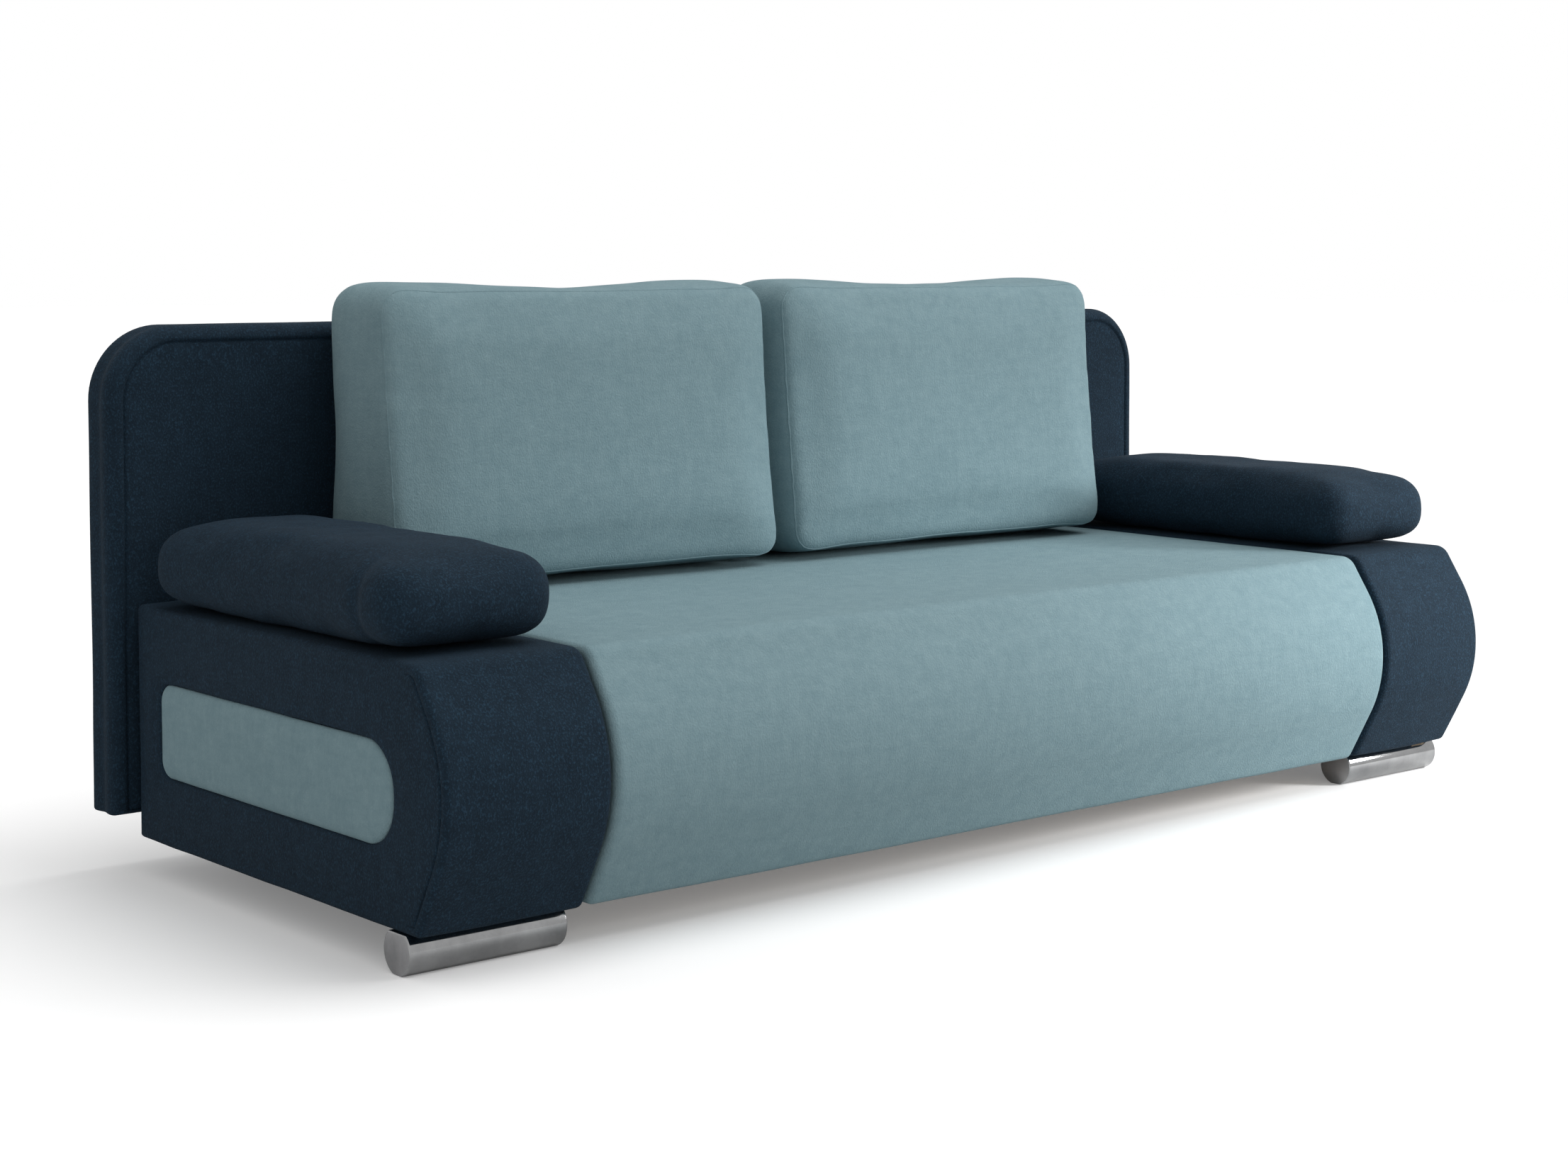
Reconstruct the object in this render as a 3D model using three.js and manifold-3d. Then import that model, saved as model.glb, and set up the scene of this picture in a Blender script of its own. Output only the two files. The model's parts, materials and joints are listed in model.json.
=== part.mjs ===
// Futon sofa bed: a low box sofa with padded arms, a lift-up seat over a
// bedding box, and a full-width backrest that folds down behind the seat and
// arms, level with their tops. Millimetres, +X along the width, +Y to the rear,
// +Z up; the origin is on the floor under the middle of the sofa.

import * as THREE from 'three';
import { mergeVertices } from 'three/addons/utils/BufferGeometryUtils.js';
import { RoundedBoxGeometry } from 'three/addons/geometries/RoundedBoxGeometry.js';
import Module from 'manifold-3d';

const wasm = await Module();
wasm.setup();

// ---- driving dimensions ----------------------------------------------------

const sofaWidth = 2000;
const floorGap = 52;
const touch = 0.3;

const armWidth = 240;
const armDepth = 717;
const armHeight = 325;
const frontBulge = 65;
const bulgeRise = 169;
const bulgeRadius = 190;
const frontEdgeRadius = 20;
const lowEdgeRadius = 12;
const armEdgeRadius = 10;
const coverThickness = 12;
const armBoard = 12;
const armTopBoard = 15;
const formerDepth = 40;

const insetRearMargin = 69;
const insetHeight = 130;
const insetFront = 52;
const insetBottom = 95;
const insetFrontRadius = 60;
const insetRearRadius = 26;
const insetRecess = 7;

const seatSideGap = 6;
const seatRearGap = 5;
const seatPadThickness = 87;
const seatRearRadius = 30;
const apronDepth = 40;
const seatRail = 40;
const seatMat = 6;

const seatPivotInset = 27;
const seatPivotDrop = 37;
const seatPinRadius = 5;
const pinClearance = 0.3;
const leafThickness = 3;
const leafHeight = 62;
const leafLength = 150;
const leafEnd = 15;

const boxBoard = 16;
const boxFloor = 5;
const boxTopGap = 10;
const boxFrontGap = 4;
const boxRearInset = 17;
const bayWidth = 22;
const beamWidth = 60;
const beamThickness = 18;

const footRadius = 30;
const footInset = 12;
const footSetback = 46;
const footFlat = 9;
const rearFootRadius = 26;
const rearFootInset = 150;
const rearFootSetback = 80;

const backOverhang = 32;
const backHeight = 678;
const backThickness = 68;
const backRise = 30;
const backGap = 10;
const backCornerRadius = 105;
const backBottomRadius = 22;
const backEdgeRadius = 20;
const frameDepth = 22;
const frameRail = 60;
const rearPanel = 4;
const rearPanelRise = 80;

const backPivotDepth = 44;
const backPivotRise = 20;
const bedEdgeGap = 13;
const pivotReach = 140;
const linkThickness = 6;
const linkHalfWidth = 14;
const linkPinRadius = 6;
const pinEnd = 1.5;
const linkSlotWidth = 14;
const linkSlotClearance = 3;
const linkElbowDrop = 93;
const linkElbowSet = 5;
const plateThickness = 5;
const bracketReach = 30;
const bracketEnd = 12;
const plateSize = 96;

const legWidth = 20;
const legSpacing = 1120;
const legPivotDrop = 66;
const legPivotInset = 12;
const legPinRadius = 4;
const legTube = 9;
const legTubeRise = 45;
const legBracket = 4;

const cushionSideSpace = 29;
const cushionHeight = 438;
const cushionFootDepth = 232;
const cushionTopDepth = 188;
const cushionRadius = 58;
const cushionEdgeRadius = 26;
const cushionGap = 6;
const restGap = 1.5;

const pillowOverhang = 12;
const pillowRearSpace = 52;
const pillowHeight = 120;
const pillowRadius = 46;
const pillowFront = 35;

// ---- places worked out from the driving dimensions --------------------------

const armOuter = sofaWidth / 2;
const armInner = armOuter - armWidth;
const armTop = floorGap + armHeight;
const seatHalf = armInner - seatSideGap;
const seatRear = armDepth - seatRearGap;
const seatPadBottom = armTop - seatPadThickness;
const boxHalf = armInner - bayWidth;
const boxBottom = floorGap + beamThickness;
const boxTop = seatPadBottom - seatRail - boxTopGap;
const backBottom = floorGap + backRise;
const backFront = armDepth + backGap;
const backRear = backFront + backThickness;
const backTop = backBottom + backHeight;
const backHalf = armOuter + backOverhang;
const bayMiddle = armInner - bayWidth / 2;

// Back pivot at rest and in the bed position, and the fixed pivot of the swing
// link, which stands at the same distance from both.
const pivotRest = new THREE.Vector2(backFront + backPivotDepth, backBottom + backPivotRise);
const pivotBed = new THREE.Vector2(armDepth + bedEdgeGap + backPivotRise, armTop - backPivotDepth);
const pivotTravel = pivotBed.clone().sub(pivotRest);
const towardsFront = new THREE.Vector2(-pivotTravel.y, pivotTravel.x).normalize();
const pivotFixed = pivotRest.clone().add(pivotBed).multiplyScalar(0.5)
  .addScaledVector(towardsFront, pivotReach);

// The swing link is cranked: in the bed position its elbow is under the back
// pivot, which keeps it below the seat. At rest it has swung down and forward.
const swing = pivotRest.clone().sub(pivotFixed).angle() - pivotBed.clone().sub(pivotFixed).angle();
const elbowBed = new THREE.Vector2(pivotBed.x - linkElbowSet, pivotBed.y - linkElbowDrop);
const linkElbow = elbowBed.clone().rotateAround(pivotFixed, swing);
const linkClimb = Math.max(0, (linkElbow.y - pivotRest.y) / (pivotRest.x - linkElbow.x));
const linkSlotHeight = backPivotRise + linkHalfWidth * Math.hypot(1, linkClimb)
  + backPivotDepth * linkClimb + linkSlotClearance;

const seatPivot = new THREE.Vector2(seatRear - seatPivotInset, armTop - seatPivotDrop);
const legPivot = new THREE.Vector2(backRear - legPivotInset, backTop - legPivotDrop);
const legPivotBedHeight = armTop - (legPivot.x - backFront);

// ---- materials ---------------------------------------------------------------

function finish(color, roughness, metalness) {
  return new THREE.MeshStandardMaterial({ color, roughness, metalness });
}

const navyFabric = finish(0x1d2a45, 0.95, 0);
const tealFabric = finish(0x6f8d93, 0.9, 0);
const chrome = finish(0xc8cbd0, 0.15, 1);
const steel = finish(0x5d6066, 0.45, 0.9);
const timber = finish(0xc9a878, 0.7, 0);
const blackPlastic = finish(0x1b1c1e, 0.6, 0);
const springMat = finish(0x3a3d42, 0.8, 0);

// ---- geometry helpers ----------------------------------------------------------

const X = new THREE.Vector3(1, 0, 0);
const Y = new THREE.Vector3(0, 1, 0);
const Z = new THREE.Vector3(0, 0, 1);
const curveSteps = 7;

/** A mesh geometry as a solid that can be added to and cut. */
function toSolid(geometry) {
  const bare = geometry.clone();
  bare.deleteAttribute('normal');
  bare.deleteAttribute('uv');
  const merged = mergeVertices(bare, 1e-4);
  const vertProperties = new Float32Array(merged.attributes.position.array);
  const triVerts = new Uint32Array(merged.index.array);
  return new wasm.Manifold(new wasm.Mesh({ numProp: 3, vertProperties, triVerts }));
}

/** A solid as a mesh geometry. */
function toGeometry(solid) {
  const { vertProperties, triVerts } = solid.getMesh();
  const geometry = new THREE.BufferGeometry();
  geometry.setAttribute('position', new THREE.BufferAttribute(vertProperties, 3));
  geometry.setIndex(new THREE.BufferAttribute(triVerts, 1));
  geometry.computeVertexNormals();
  return geometry;
}

/** The first geometry with all the others cut out of it. */
function cut(geometry, ...tools) {
  return toGeometry(tools.reduce((solid, tool) => solid.subtract(toSolid(tool)), toSolid(geometry)));
}

/** The geometries joined into one. */
function join(...geometries) {
  return toGeometry(geometries.map(toSolid).reduce((solid, other) => solid.add(other)));
}

/** A box between two corners. */
function boxBetween(low, high) {
  const size = high.map((value, i) => value - low[i]);
  const middle = high.map((value, i) => (value + low[i]) / 2);
  return new THREE.BoxGeometry(...size).translate(...middle);
}

/** A box with rounded edges between two corners. */
function softBoxBetween(low, high, radius) {
  const size = high.map((value, i) => value - low[i]);
  const middle = high.map((value, i) => (value + low[i]) / 2);
  return new RoundedBoxGeometry(...size, 3, radius).translate(...middle);
}

/** The outline's curves as short straight steps, with no point given twice. */
function stepped(outline, steps) {
  const tidy = (path) => path.getPoints(steps).filter((point, i, all) => (
    point.distanceTo(all[(i + all.length - 1) % all.length]) > 0.01));
  const shape = new THREE.Shape(tidy(outline));
  shape.holes = (outline.holes ?? []).map((hole) => new THREE.Path(tidy(hole)));
  return shape;
}

/** A side-view outline (y, z) stretched along x from one place to another. */
function alongX(outline, from, to, edgeRadius = 0, steps = 3) {
  const rounded = edgeRadius > 0;
  const geometry = new THREE.ExtrudeGeometry(stepped(outline, steps), {
    depth: to - from - 2 * edgeRadius,
    bevelEnabled: rounded,
    bevelThickness: edgeRadius,
    bevelSize: edgeRadius,
    bevelOffset: -edgeRadius,
    bevelSegments: 2,
  });
  geometry.translate(0, 0, from + edgeRadius);
  return geometry.applyMatrix4(new THREE.Matrix4().makeBasis(Y, Z, X));
}

/** A front-view outline (x, z) stretched along y from one place to another. */
function alongY(outline, from, to, edgeRadius = 0, steps = 5) {
  const rounded = edgeRadius > 0;
  const geometry = new THREE.ExtrudeGeometry(stepped(outline, steps), {
    depth: to - from - 2 * edgeRadius,
    bevelEnabled: rounded,
    bevelThickness: edgeRadius,
    bevelSize: edgeRadius,
    bevelOffset: -edgeRadius,
    bevelSegments: 2,
  });
  geometry.translate(0, 0, -to + edgeRadius);
  return geometry.applyMatrix4(new THREE.Matrix4().makeBasis(X, Z, Y.clone().negate()));
}

/** A round rod along x, centred on (y, z). */
function rodAlongX(radius, from, to, y, z, sides = 20) {
  const rod = new THREE.CylinderGeometry(radius, radius, to - from, sides);
  return rod.rotateZ(Math.PI / 2).translate((from + to) / 2, y, z);
}

/** An outline with four corners of different radii, anticlockwise from low left. */
function roundedOutline(x0, y0, x1, y1, [lowLeft, lowRight, highRight, highLeft]) {
  const shape = new THREE.Shape();
  shape.moveTo(x0 + lowLeft, y0);
  shape.lineTo(x1 - lowRight, y0);
  shape.absarc(x1 - lowRight, y0 + lowRight, lowRight, -Math.PI / 2, 0);
  shape.lineTo(x1, y1 - highRight);
  shape.absarc(x1 - highRight, y1 - highRight, highRight, 0, Math.PI / 2);
  shape.lineTo(x0 + highLeft, y1);
  shape.absarc(x0 + highLeft, y1 - highLeft, highLeft, Math.PI / 2, Math.PI);
  shape.lineTo(x0, y0 + lowLeft);
  shape.absarc(x0 + lowLeft, y0 + lowLeft, lowLeft, Math.PI, 1.5 * Math.PI);
  return shape;
}

/** A flat plate (y, z) round a bent line of three points, with a hole at each end. */
function crankedPlate(start, elbow, end, halfWidth, holeRadius, from, to) {
  const arm = (a, b) => {
    const angle = Math.atan2(b.y - a.y, b.x - a.x);
    const shape = new THREE.Shape();
    shape.absarc(a.x, a.y, halfWidth, angle + Math.PI / 2, angle + 1.5 * Math.PI);
    shape.absarc(b.x, b.y, halfWidth, angle - Math.PI / 2, angle + Math.PI / 2);
    return alongX(shape, from, to, 0, curveSteps);
  };
  const holes = [start, end].map((centre) => rodAlongX(holeRadius, from - 1, to + 1, centre.x, centre.y));
  return cut(join(arm(start, elbow), arm(elbow, end)), ...holes);
}

/** Both ends of a span on one side of the sofa, lower x first. */
function span(side, inner, outer) {
  return side > 0 ? [inner, outer] : [-outer, -inner];
}

const parts = new THREE.Group();

function addPart(name, geometry, material) {
  const mesh = new THREE.Mesh(geometry, material);
  mesh.name = name;
  parts.add(mesh);
}

/** Calls a builder once for each end of the sofa. */
function bothSides(build) {
  build(-1, 'left');
  build(1, 'right');
}

// ---- arms ------------------------------------------------------------------------

/** The angle at which the straight run from a corner touches the front's round bulge. */
function touchAngle(centre, corner) {
  const toCorner = corner.clone().sub(centre);
  const lean = Math.acos(bulgeRadius / toCorner.length());
  const angle = Math.atan2(toCorner.y, toCorner.x);
  return angle > 0 ? angle + lean : angle - lean + 2 * Math.PI;
}

// The front of arms and seat runs straight down from the top edge, round the
// bulge and straight back to the lower edge. An inset outline runs the same
// way, a wall's thickness further in.
function frontOutline(rear, bottom, inset, edgeRadius, lowRadius) {
  const centre = new THREE.Vector2(bulgeRadius - frontBulge, floorGap + bulgeRise);
  const highAngle = touchAngle(centre, new THREE.Vector2(0, armTop));
  const lowAngle = touchAngle(centre, new THREE.Vector2(0, floorGap));
  const top = armTop - inset;
  const slopeAt = (angle, height, radius) => {
    const reach = bulgeRadius - inset - radius + centre.x * Math.cos(angle) + centre.y * Math.sin(angle);
    return (reach - height * Math.sin(angle)) / Math.cos(angle);
  };
  const highY = slopeAt(highAngle, top - edgeRadius, edgeRadius);
  const lowY = slopeAt(lowAngle, bottom + lowRadius, lowRadius);
  const shape = new THREE.Shape();
  shape.moveTo(rear, bottom);
  shape.lineTo(rear, top);
  shape.lineTo(highY, top);
  shape.absarc(highY, top - edgeRadius, edgeRadius, Math.PI / 2, highAngle);
  shape.absarc(centre.x, centre.y, bulgeRadius - inset, highAngle, lowAngle);
  if (lowRadius > 0) shape.absarc(lowY, bottom + lowRadius, lowRadius, lowAngle, 1.5 * Math.PI);
  else shape.lineTo(lowY, bottom);
  return shape;
}

function insetOutline(shrink) {
  const front = insetFront + shrink;
  const rear = armDepth - insetRearMargin - shrink;
  const bottom = floorGap + insetBottom + shrink;
  const top = floorGap + insetBottom + insetHeight - shrink;
  const frontRadius = insetFrontRadius - shrink;
  const rearRadius = insetRearRadius - shrink;
  return roundedOutline(front, bottom, rear, top, [frontRadius, rearRadius, rearRadius, frontRadius]);
}

function addArm(side, label) {
  const outer = frontOutline(armDepth, floorGap, 0, frontEdgeRadius, lowEdgeRadius);
  const shell = alongX(outer, ...span(side, armInner, armOuter), armEdgeRadius, curveSteps);
  const wall = coverThickness;
  const hollowOutline = frontOutline(armDepth - wall, floorGap - 1, wall, frontEdgeRadius - wall, 0);
  const hollow = alongX(hollowOutline, ...span(side, armInner + wall, armOuter - wall), 0, curveSteps);
  const recess = alongX(insetOutline(0), ...span(side, armOuter - insetRecess, armOuter + 1));
  addPart(`arm_cover_${label}`, cut(shell, hollow, recess), navyFabric);

  const pad = alongX(insetOutline(touch), ...span(side, armOuter - insetRecess + touch, armOuter));
  addPart(`arm_inset_pad_${label}`, pad, tealFabric);

  const inside = wall + touch;
  const front = inside + formerDepth;
  const rear = armDepth - inside;
  const underTop = armTop - inside - armTopBoard - touch;
  const boardAt = (inner, outer, low, high, y0, y1) => {
    const [x0, x1] = span(side, inner, outer);
    return boxBetween([x0, y0, low], [x1, y1, high]);
  };
  const outerBoard = [armOuter - inside - armBoard, armOuter - inside];
  const innerBoard = [armInner + inside, armInner + inside + armBoard];
  const base = floorGap + armBoard + touch;
  addPart(`arm_base_board_${label}`,
    boardAt(armInner + inside, armOuter - inside, floorGap, floorGap + armBoard, front, rear), timber);
  addPart(`arm_outer_board_${label}`, boardAt(...outerBoard, base, underTop, front, rear), timber);
  addPart(`arm_inner_board_${label}`, boardAt(...innerBoard, base, underTop, front, rear), timber);
  addPart(`arm_top_board_${label}`,
    boardAt(armInner + inside, armOuter - inside, underTop + touch, armTop - inside, front, rear), timber);

  const formerOutline = frontOutline(front - touch, floorGap, inside, frontEdgeRadius - wall, 0);
  const former = alongX(formerOutline, ...span(side, armInner + inside, armOuter - inside), 0,
    curveSteps);
  addPart(`arm_front_former_${label}`, former, timber);
}

// ---- feet --------------------------------------------------------------------------

// A front foot is a chrome roller that lies under the arm, cut flat where the
// arm rests on it and where it rests on the floor.
function addFeet(side, label) {
  const flatDrop = footRadius - Math.sqrt(footRadius * footRadius - footFlat * footFlat);
  const centre = footRadius - flatDrop;
  const [x0, x1] = span(side, armInner + footInset, armOuter);
  const roller = rodAlongX(footRadius, x0, x1, footSetback, centre, 40);
  const above = boxBetween([x0 - 1, footSetback - 40, floorGap - touch], [x1 + 1, footSetback + 40, 90]);
  const below = boxBetween([x0 - 1, footSetback - 40, -20], [x1 + 1, footSetback + 40, 0]);
  addPart(`front_foot_${label}`, cut(roller, above, below), chrome);

  const block = new THREE.CylinderGeometry(rearFootRadius, rearFootRadius - 4, floorGap - touch, 28);
  block.rotateX(Math.PI / 2);
  block.translate(side * (armOuter - rearFootInset), armDepth - rearFootSetback, (floorGap - touch) / 2);
  addPart(`rear_foot_${label}`, block, blackPlastic);
}

// ---- base and bedding box ------------------------------------------------------------

function addBase() {
  const front = apronDepth + boxFrontGap;
  const rear = armDepth - boxRearInset;
  const beamTop = boxBottom - touch;
  const reach = armInner - touch;
  const beam = (y) => boxBetween([-reach, y, floorGap], [reach, y + beamWidth, beamTop]);
  addPart('front_beam', beam(front), timber);
  addPart('rear_beam', beam(rear - beamWidth), timber);

  const between = boxHalf - boxBoard - touch;
  const frontBoard = boxBetween([-reach, front, boxBottom], [reach, front + boxBoard, boxTop]);
  const rearBoard = boxBetween([-between, rear - boxBoard, boxBottom], [between, rear, boxTop]);
  addPart('box_front_board', frontBoard, timber);
  addPart('box_rear_board', rearBoard, timber);
  const y0 = front + boxBoard + touch;
  const y1 = rear - boxBoard - touch;
  const floor = boxBetween([-between, y0, boxBottom], [between, y1, boxBottom + boxFloor]);
  addPart('box_floor', floor, timber);
  bothSides((side, label) => {
    const [x0, x1] = span(side, boxHalf - boxBoard, boxHalf);
    addPart(`box_side_${label}`, boxBetween([x0, y0, boxBottom], [x1, rear, boxTop]), timber);
  });
}

// ---- swing mechanism -------------------------------------------------------------------

function addMechanism(side, label) {
  const plateOuter = armInner - touch;
  const plateInner = plateOuter - plateThickness;
  const half = plateSize / 2;
  const plateOutline = roundedOutline(pivotFixed.x - half, pivotFixed.y - half,
    pivotFixed.x + half, pivotFixed.y + half, [14, 14, 14, 14]);
  const plate = alongX(plateOutline, ...span(side, plateInner, plateOuter));
  const linkHalf = linkThickness / 2;
  const pinEnds = span(side, bayMiddle - linkHalf - pinEnd, plateInner + 1);
  const pin = rodAlongX(linkPinRadius, ...pinEnds, pivotFixed.x, pivotFixed.y);
  addPart(`mechanism_plate_${label}`, join(plate, pin), steel);

  const link = crankedPlate(pivotFixed, linkElbow, pivotRest, linkHalfWidth, linkPinRadius + pinClearance,
    ...span(side, bayMiddle - linkHalf, bayMiddle + linkHalf));
  addPart(`swing_link_${label}`, link, steel);
}

// ---- backrest ------------------------------------------------------------------------------

function backOutline(inset) {
  const half = backHalf - inset;
  const high = backCornerRadius - inset;
  const low = backBottomRadius - inset;
  const bottom = backBottom + inset;
  return roundedOutline(-half, bottom, half, backTop - inset, [low, low, high, high]);
}

/** The slot in the backrest's lower edge that a swing link turns in. */
function linkSlot(side) {
  const middle = side * bayMiddle;
  const half = linkSlotWidth / 2;
  return boxBetween([middle - half, backFront - 1, backBottom - 1],
    [middle + half, backRear + 1, backBottom + linkSlotHeight]);
}

function addBackrest() {
  const wall = coverThickness;
  const half = backHalf;
  const padded = alongY(backOutline(0), backFront, backRear + backEdgeRadius, backEdgeRadius);
  const past = boxBetween([-half - 1, backRear, 0], [half + 1, backRear + 2 * backEdgeRadius, backTop + 1]);
  const hollow = alongY(backOutline(wall), backFront + wall, backRear + 1);
  addPart('back_cover', cut(padded, past, hollow, linkSlot(-1), linkSlot(1)), navyFabric);

  const inside = wall + touch;
  const y0 = backFront + inside;
  const y1 = y0 + frameDepth;
  const bottom = backBottom + inside;
  const top = backTop - inside;
  const straight = half - backCornerRadius - frameRail;
  const postOuter = bayMiddle - linkSlotWidth / 2 - plateThickness - 2 * touch;
  const postInner = postOuter - frameRail;
  addPart('back_top_rail', boxBetween([-straight, y0, top - frameRail], [straight, y1, top]), timber);
  const lowRail = boxBetween([-postInner + touch, y0, bottom], [postInner - touch, y1, bottom + frameRail]);
  addPart('back_bottom_rail', lowRail, timber);

  // The panel closes the frame from behind and stands clear of the hinge brackets.
  const panelOutline = roundedOutline(-half + inside, backBottom + rearPanelRise, half - inside,
    top, [4, 4, backCornerRadius - inside, backCornerRadius - inside]);
  addPart('back_rear_panel', alongY(panelOutline, y1 + touch, y1 + touch + rearPanel), springMat);

  bothSides((side, label) => {
    const [x0, x1] = span(side, postInner, postOuter);
    const post = boxBetween([x0, y0, bottom], [x1, y1, top - frameRail - touch]);
    addPart(`back_post_${label}`, post, timber);

    const former = roundedOutline(straight + touch, backBottom + rearPanelRise, half - inside, top,
      [4, 4, backCornerRadius - inside, 4]);
    const mirrored = new THREE.Matrix4().makeRotationZ(Math.PI)
      .premultiply(new THREE.Matrix4().makeTranslation(0, y0 + y1, 0));
    const end = alongY(former, y0, y1);
    addPart(`back_end_former_${label}`, side > 0 ? end : end.applyMatrix4(mirrored), timber);
  });
}

/** The bracket on a back post and the pin that stands out of it through the link. */
function addBackBracket(side, label) {
  const outer = bayMiddle - linkSlotWidth / 2 - touch;
  const low = backBottom + coverThickness + touch;
  const high = backBottom + rearPanelRise - touch;
  const outline = roundedOutline(pivotRest.x - bracketReach, low, pivotRest.x + bracketEnd, high,
    [6, 6, 6, 6]);
  const plate = alongX(outline, ...span(side, outer - plateThickness, outer));
  const pinEnds = span(side, outer - 1, bayMiddle + linkThickness / 2 + pinEnd);
  const pin = rodAlongX(linkPinRadius, ...pinEnds, pivotRest.x, pivotRest.y);
  addPart(`back_bracket_${label}`, join(plate, pin), steel);
}

// ---- bed legs on the rear of the backrest ------------------------------------------------------

function legOutline() {
  const half = legWidth / 2;
  const tip = legPivot.y - legPivotBedHeight + touch;
  const shape = new THREE.Shape();
  shape.moveTo(legPivot.x - half, tip);
  shape.lineTo(legPivot.x + half, tip);
  shape.absarc(legPivot.x, legPivot.y, half, 0, Math.PI);
  const hole = new THREE.Path();
  hole.absarc(legPivot.x, legPivot.y, legPinRadius + pinClearance, 0, 2 * Math.PI, true);
  shape.holes.push(hole);
  return shape;
}

function addLeg(side, label) {
  const middle = legSpacing / 2;
  const half = legWidth / 2;
  const leg = alongX(legOutline(), ...span(side, middle - half, middle + half), 0, curveSteps);
  addPart(`bed_leg_${label}`, leg, steel);

  // The bracket stands out of the rear panel beside the leg and carries its pin.
  const wallFrom = middle + half + 2;
  const wallTo = wallFrom + legBracket;
  const rear = backFront + coverThickness + frameDepth + rearPanel + 3 * touch;
  const wallOutline = roundedOutline(rear, legPivot.y - 16, legPivot.x + 9, legPivot.y + 30, [1, 6, 6, 1]);
  const wall = alongX(wallOutline, ...span(side, wallFrom, wallTo));
  const pinEnds = span(side, middle - half - 2, wallTo - 1);
  const pin = rodAlongX(legPinRadius, ...pinEnds, legPivot.x, legPivot.y);
  addPart(`leg_bracket_${label}`, join(wall, pin), steel);
}

function addLegTube() {
  const reach = legSpacing / 2 - legWidth / 2 - touch;
  const height = legPivot.y - legPivotBedHeight + legTubeRise;
  addPart('leg_cross_tube', rodAlongX(legTube, -reach, reach, legPivot.x, height), steel);
}

// ---- seat -------------------------------------------------------------------------------------

function addSeat() {
  const rearTop = roundedOutline(apronDepth + touch, seatPadBottom, seatRear, armTop,
    [2, 2, seatRearRadius, 2]);
  addPart('seat_pad', alongX(rearTop, -seatHalf, seatHalf), tealFabric);
  const apron = frontOutline(apronDepth, floorGap, 0, frontEdgeRadius, lowEdgeRadius);
  addPart('front_apron', alongX(apron, -seatHalf, seatHalf, armEdgeRadius, curveSteps), tealFabric);

  const railTop = seatPadBottom - touch;
  const railLow = railTop - seatRail;
  const front = apronDepth + 2 * touch;
  const rear = seatRear - seatRail / 4;
  const reach = boxHalf - touch;
  const rail = (y) => boxBetween([-reach, y, railLow], [reach, y + seatRail, railTop]);
  addPart('seat_rail_front', rail(front), timber);
  addPart('seat_rail_rear', rail(rear - seatRail), timber);
  const sideFront = front + seatRail + touch;
  const sideRear = rear - seatRail - touch;
  bothSides((side, label) => {
    const [x0, x1] = span(side, reach - seatRail, reach);
    const sideRail = boxBetween([x0, sideFront, railLow], [x1, sideRear, railTop]);
    addPart(`seat_rail_${label}`, sideRail, timber);
  });
  const matHalf = reach - seatRail - touch;
  const mat = boxBetween([-matHalf, sideFront, railTop - seatMat], [matHalf, sideRear, railTop]);
  addPart('seat_spring_mat', mat, springMat);
}

/** The steel leaf on the end of the seat and the pin it turns on. */
function addSeatHinge(side, label) {
  const inner = seatHalf + touch;
  const outer = inner + leafThickness;
  const low = seatPadBottom + 6;
  const leafOutline = roundedOutline(seatPivot.x - leafLength + leafEnd, low, seatPivot.x + leafEnd,
    low + leafHeight, [8, 8, 8, 8]);
  const leaf = alongX(leafOutline, ...span(side, inner, outer));
  const [from, to] = span(side, inner - 1, outer + 1);
  const hole = rodAlongX(seatPinRadius + pinClearance, from, to, seatPivot.x, seatPivot.y);
  addPart(`seat_hinge_leaf_${label}`, cut(leaf, hole), steel);
  const pin = rodAlongX(seatPinRadius, ...span(side, inner, armInner - touch), seatPivot.x, seatPivot.y);
  addPart(`seat_pivot_pin_${label}`, pin, steel);
}

// ---- loose cushions and pillows -------------------------------------------------------------------

/** An outline through the given corners, each rounded over the same distance. */
function roundedPolygon(corners, reach) {
  const shape = new THREE.Shape();
  corners.forEach((corner, i) => {
    const before = corners[(i + corners.length - 1) % corners.length];
    const after = corners[(i + 1) % corners.length];
    const entry = corner.clone().add(before.clone().sub(corner).setLength(reach));
    const leave = corner.clone().add(after.clone().sub(corner).setLength(reach));
    if (i === 0) shape.moveTo(entry.x, entry.y);
    else shape.lineTo(entry.x, entry.y);
    shape.quadraticCurveTo(corner.x, corner.y, leave.x, leave.y);
  });
  return shape;
}

/** A back cushion is a wedge, deeper at its foot, so that its front leans back. */
function addBackCushion(side, label) {
  const bottom = armTop + restGap;
  const top = bottom + cushionHeight;
  const rear = backFront - restGap;
  const outline = roundedPolygon([
    new THREE.Vector2(rear - cushionFootDepth, bottom),
    new THREE.Vector2(rear, bottom),
    new THREE.Vector2(rear, top),
    new THREE.Vector2(rear - cushionTopDepth, top),
  ], cushionRadius);
  const [x0, x1] = span(side, cushionGap / 2, seatHalf - cushionSideSpace);
  const cushion = alongX(outline, x0, x1, cushionEdgeRadius, curveSteps);
  addPart(`back_cushion_${label}`, cushion, tealFabric);
}

function addArmPillow(side, label) {
  const [x0, x1] = span(side, armInner, armOuter + pillowOverhang);
  const bottom = armTop + restGap;
  const pillow = softBoxBetween([x0, pillowFront, bottom],
    [x1, armDepth - pillowRearSpace, bottom + pillowHeight], pillowRadius);
  addPart(`arm_pillow_${label}`, pillow, navyFabric);
}

// ---- assembly --------------------------------------------------------------------------------------

addBase();
addSeat();
addBackrest();
addLegTube();
bothSides(addArm);
bothSides(addFeet);
bothSides(addMechanism);
bothSides(addBackBracket);
bothSides(addLeg);
bothSides(addSeatHinge);
bothSides(addBackCushion);
bothSides(addArmPillow);

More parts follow.
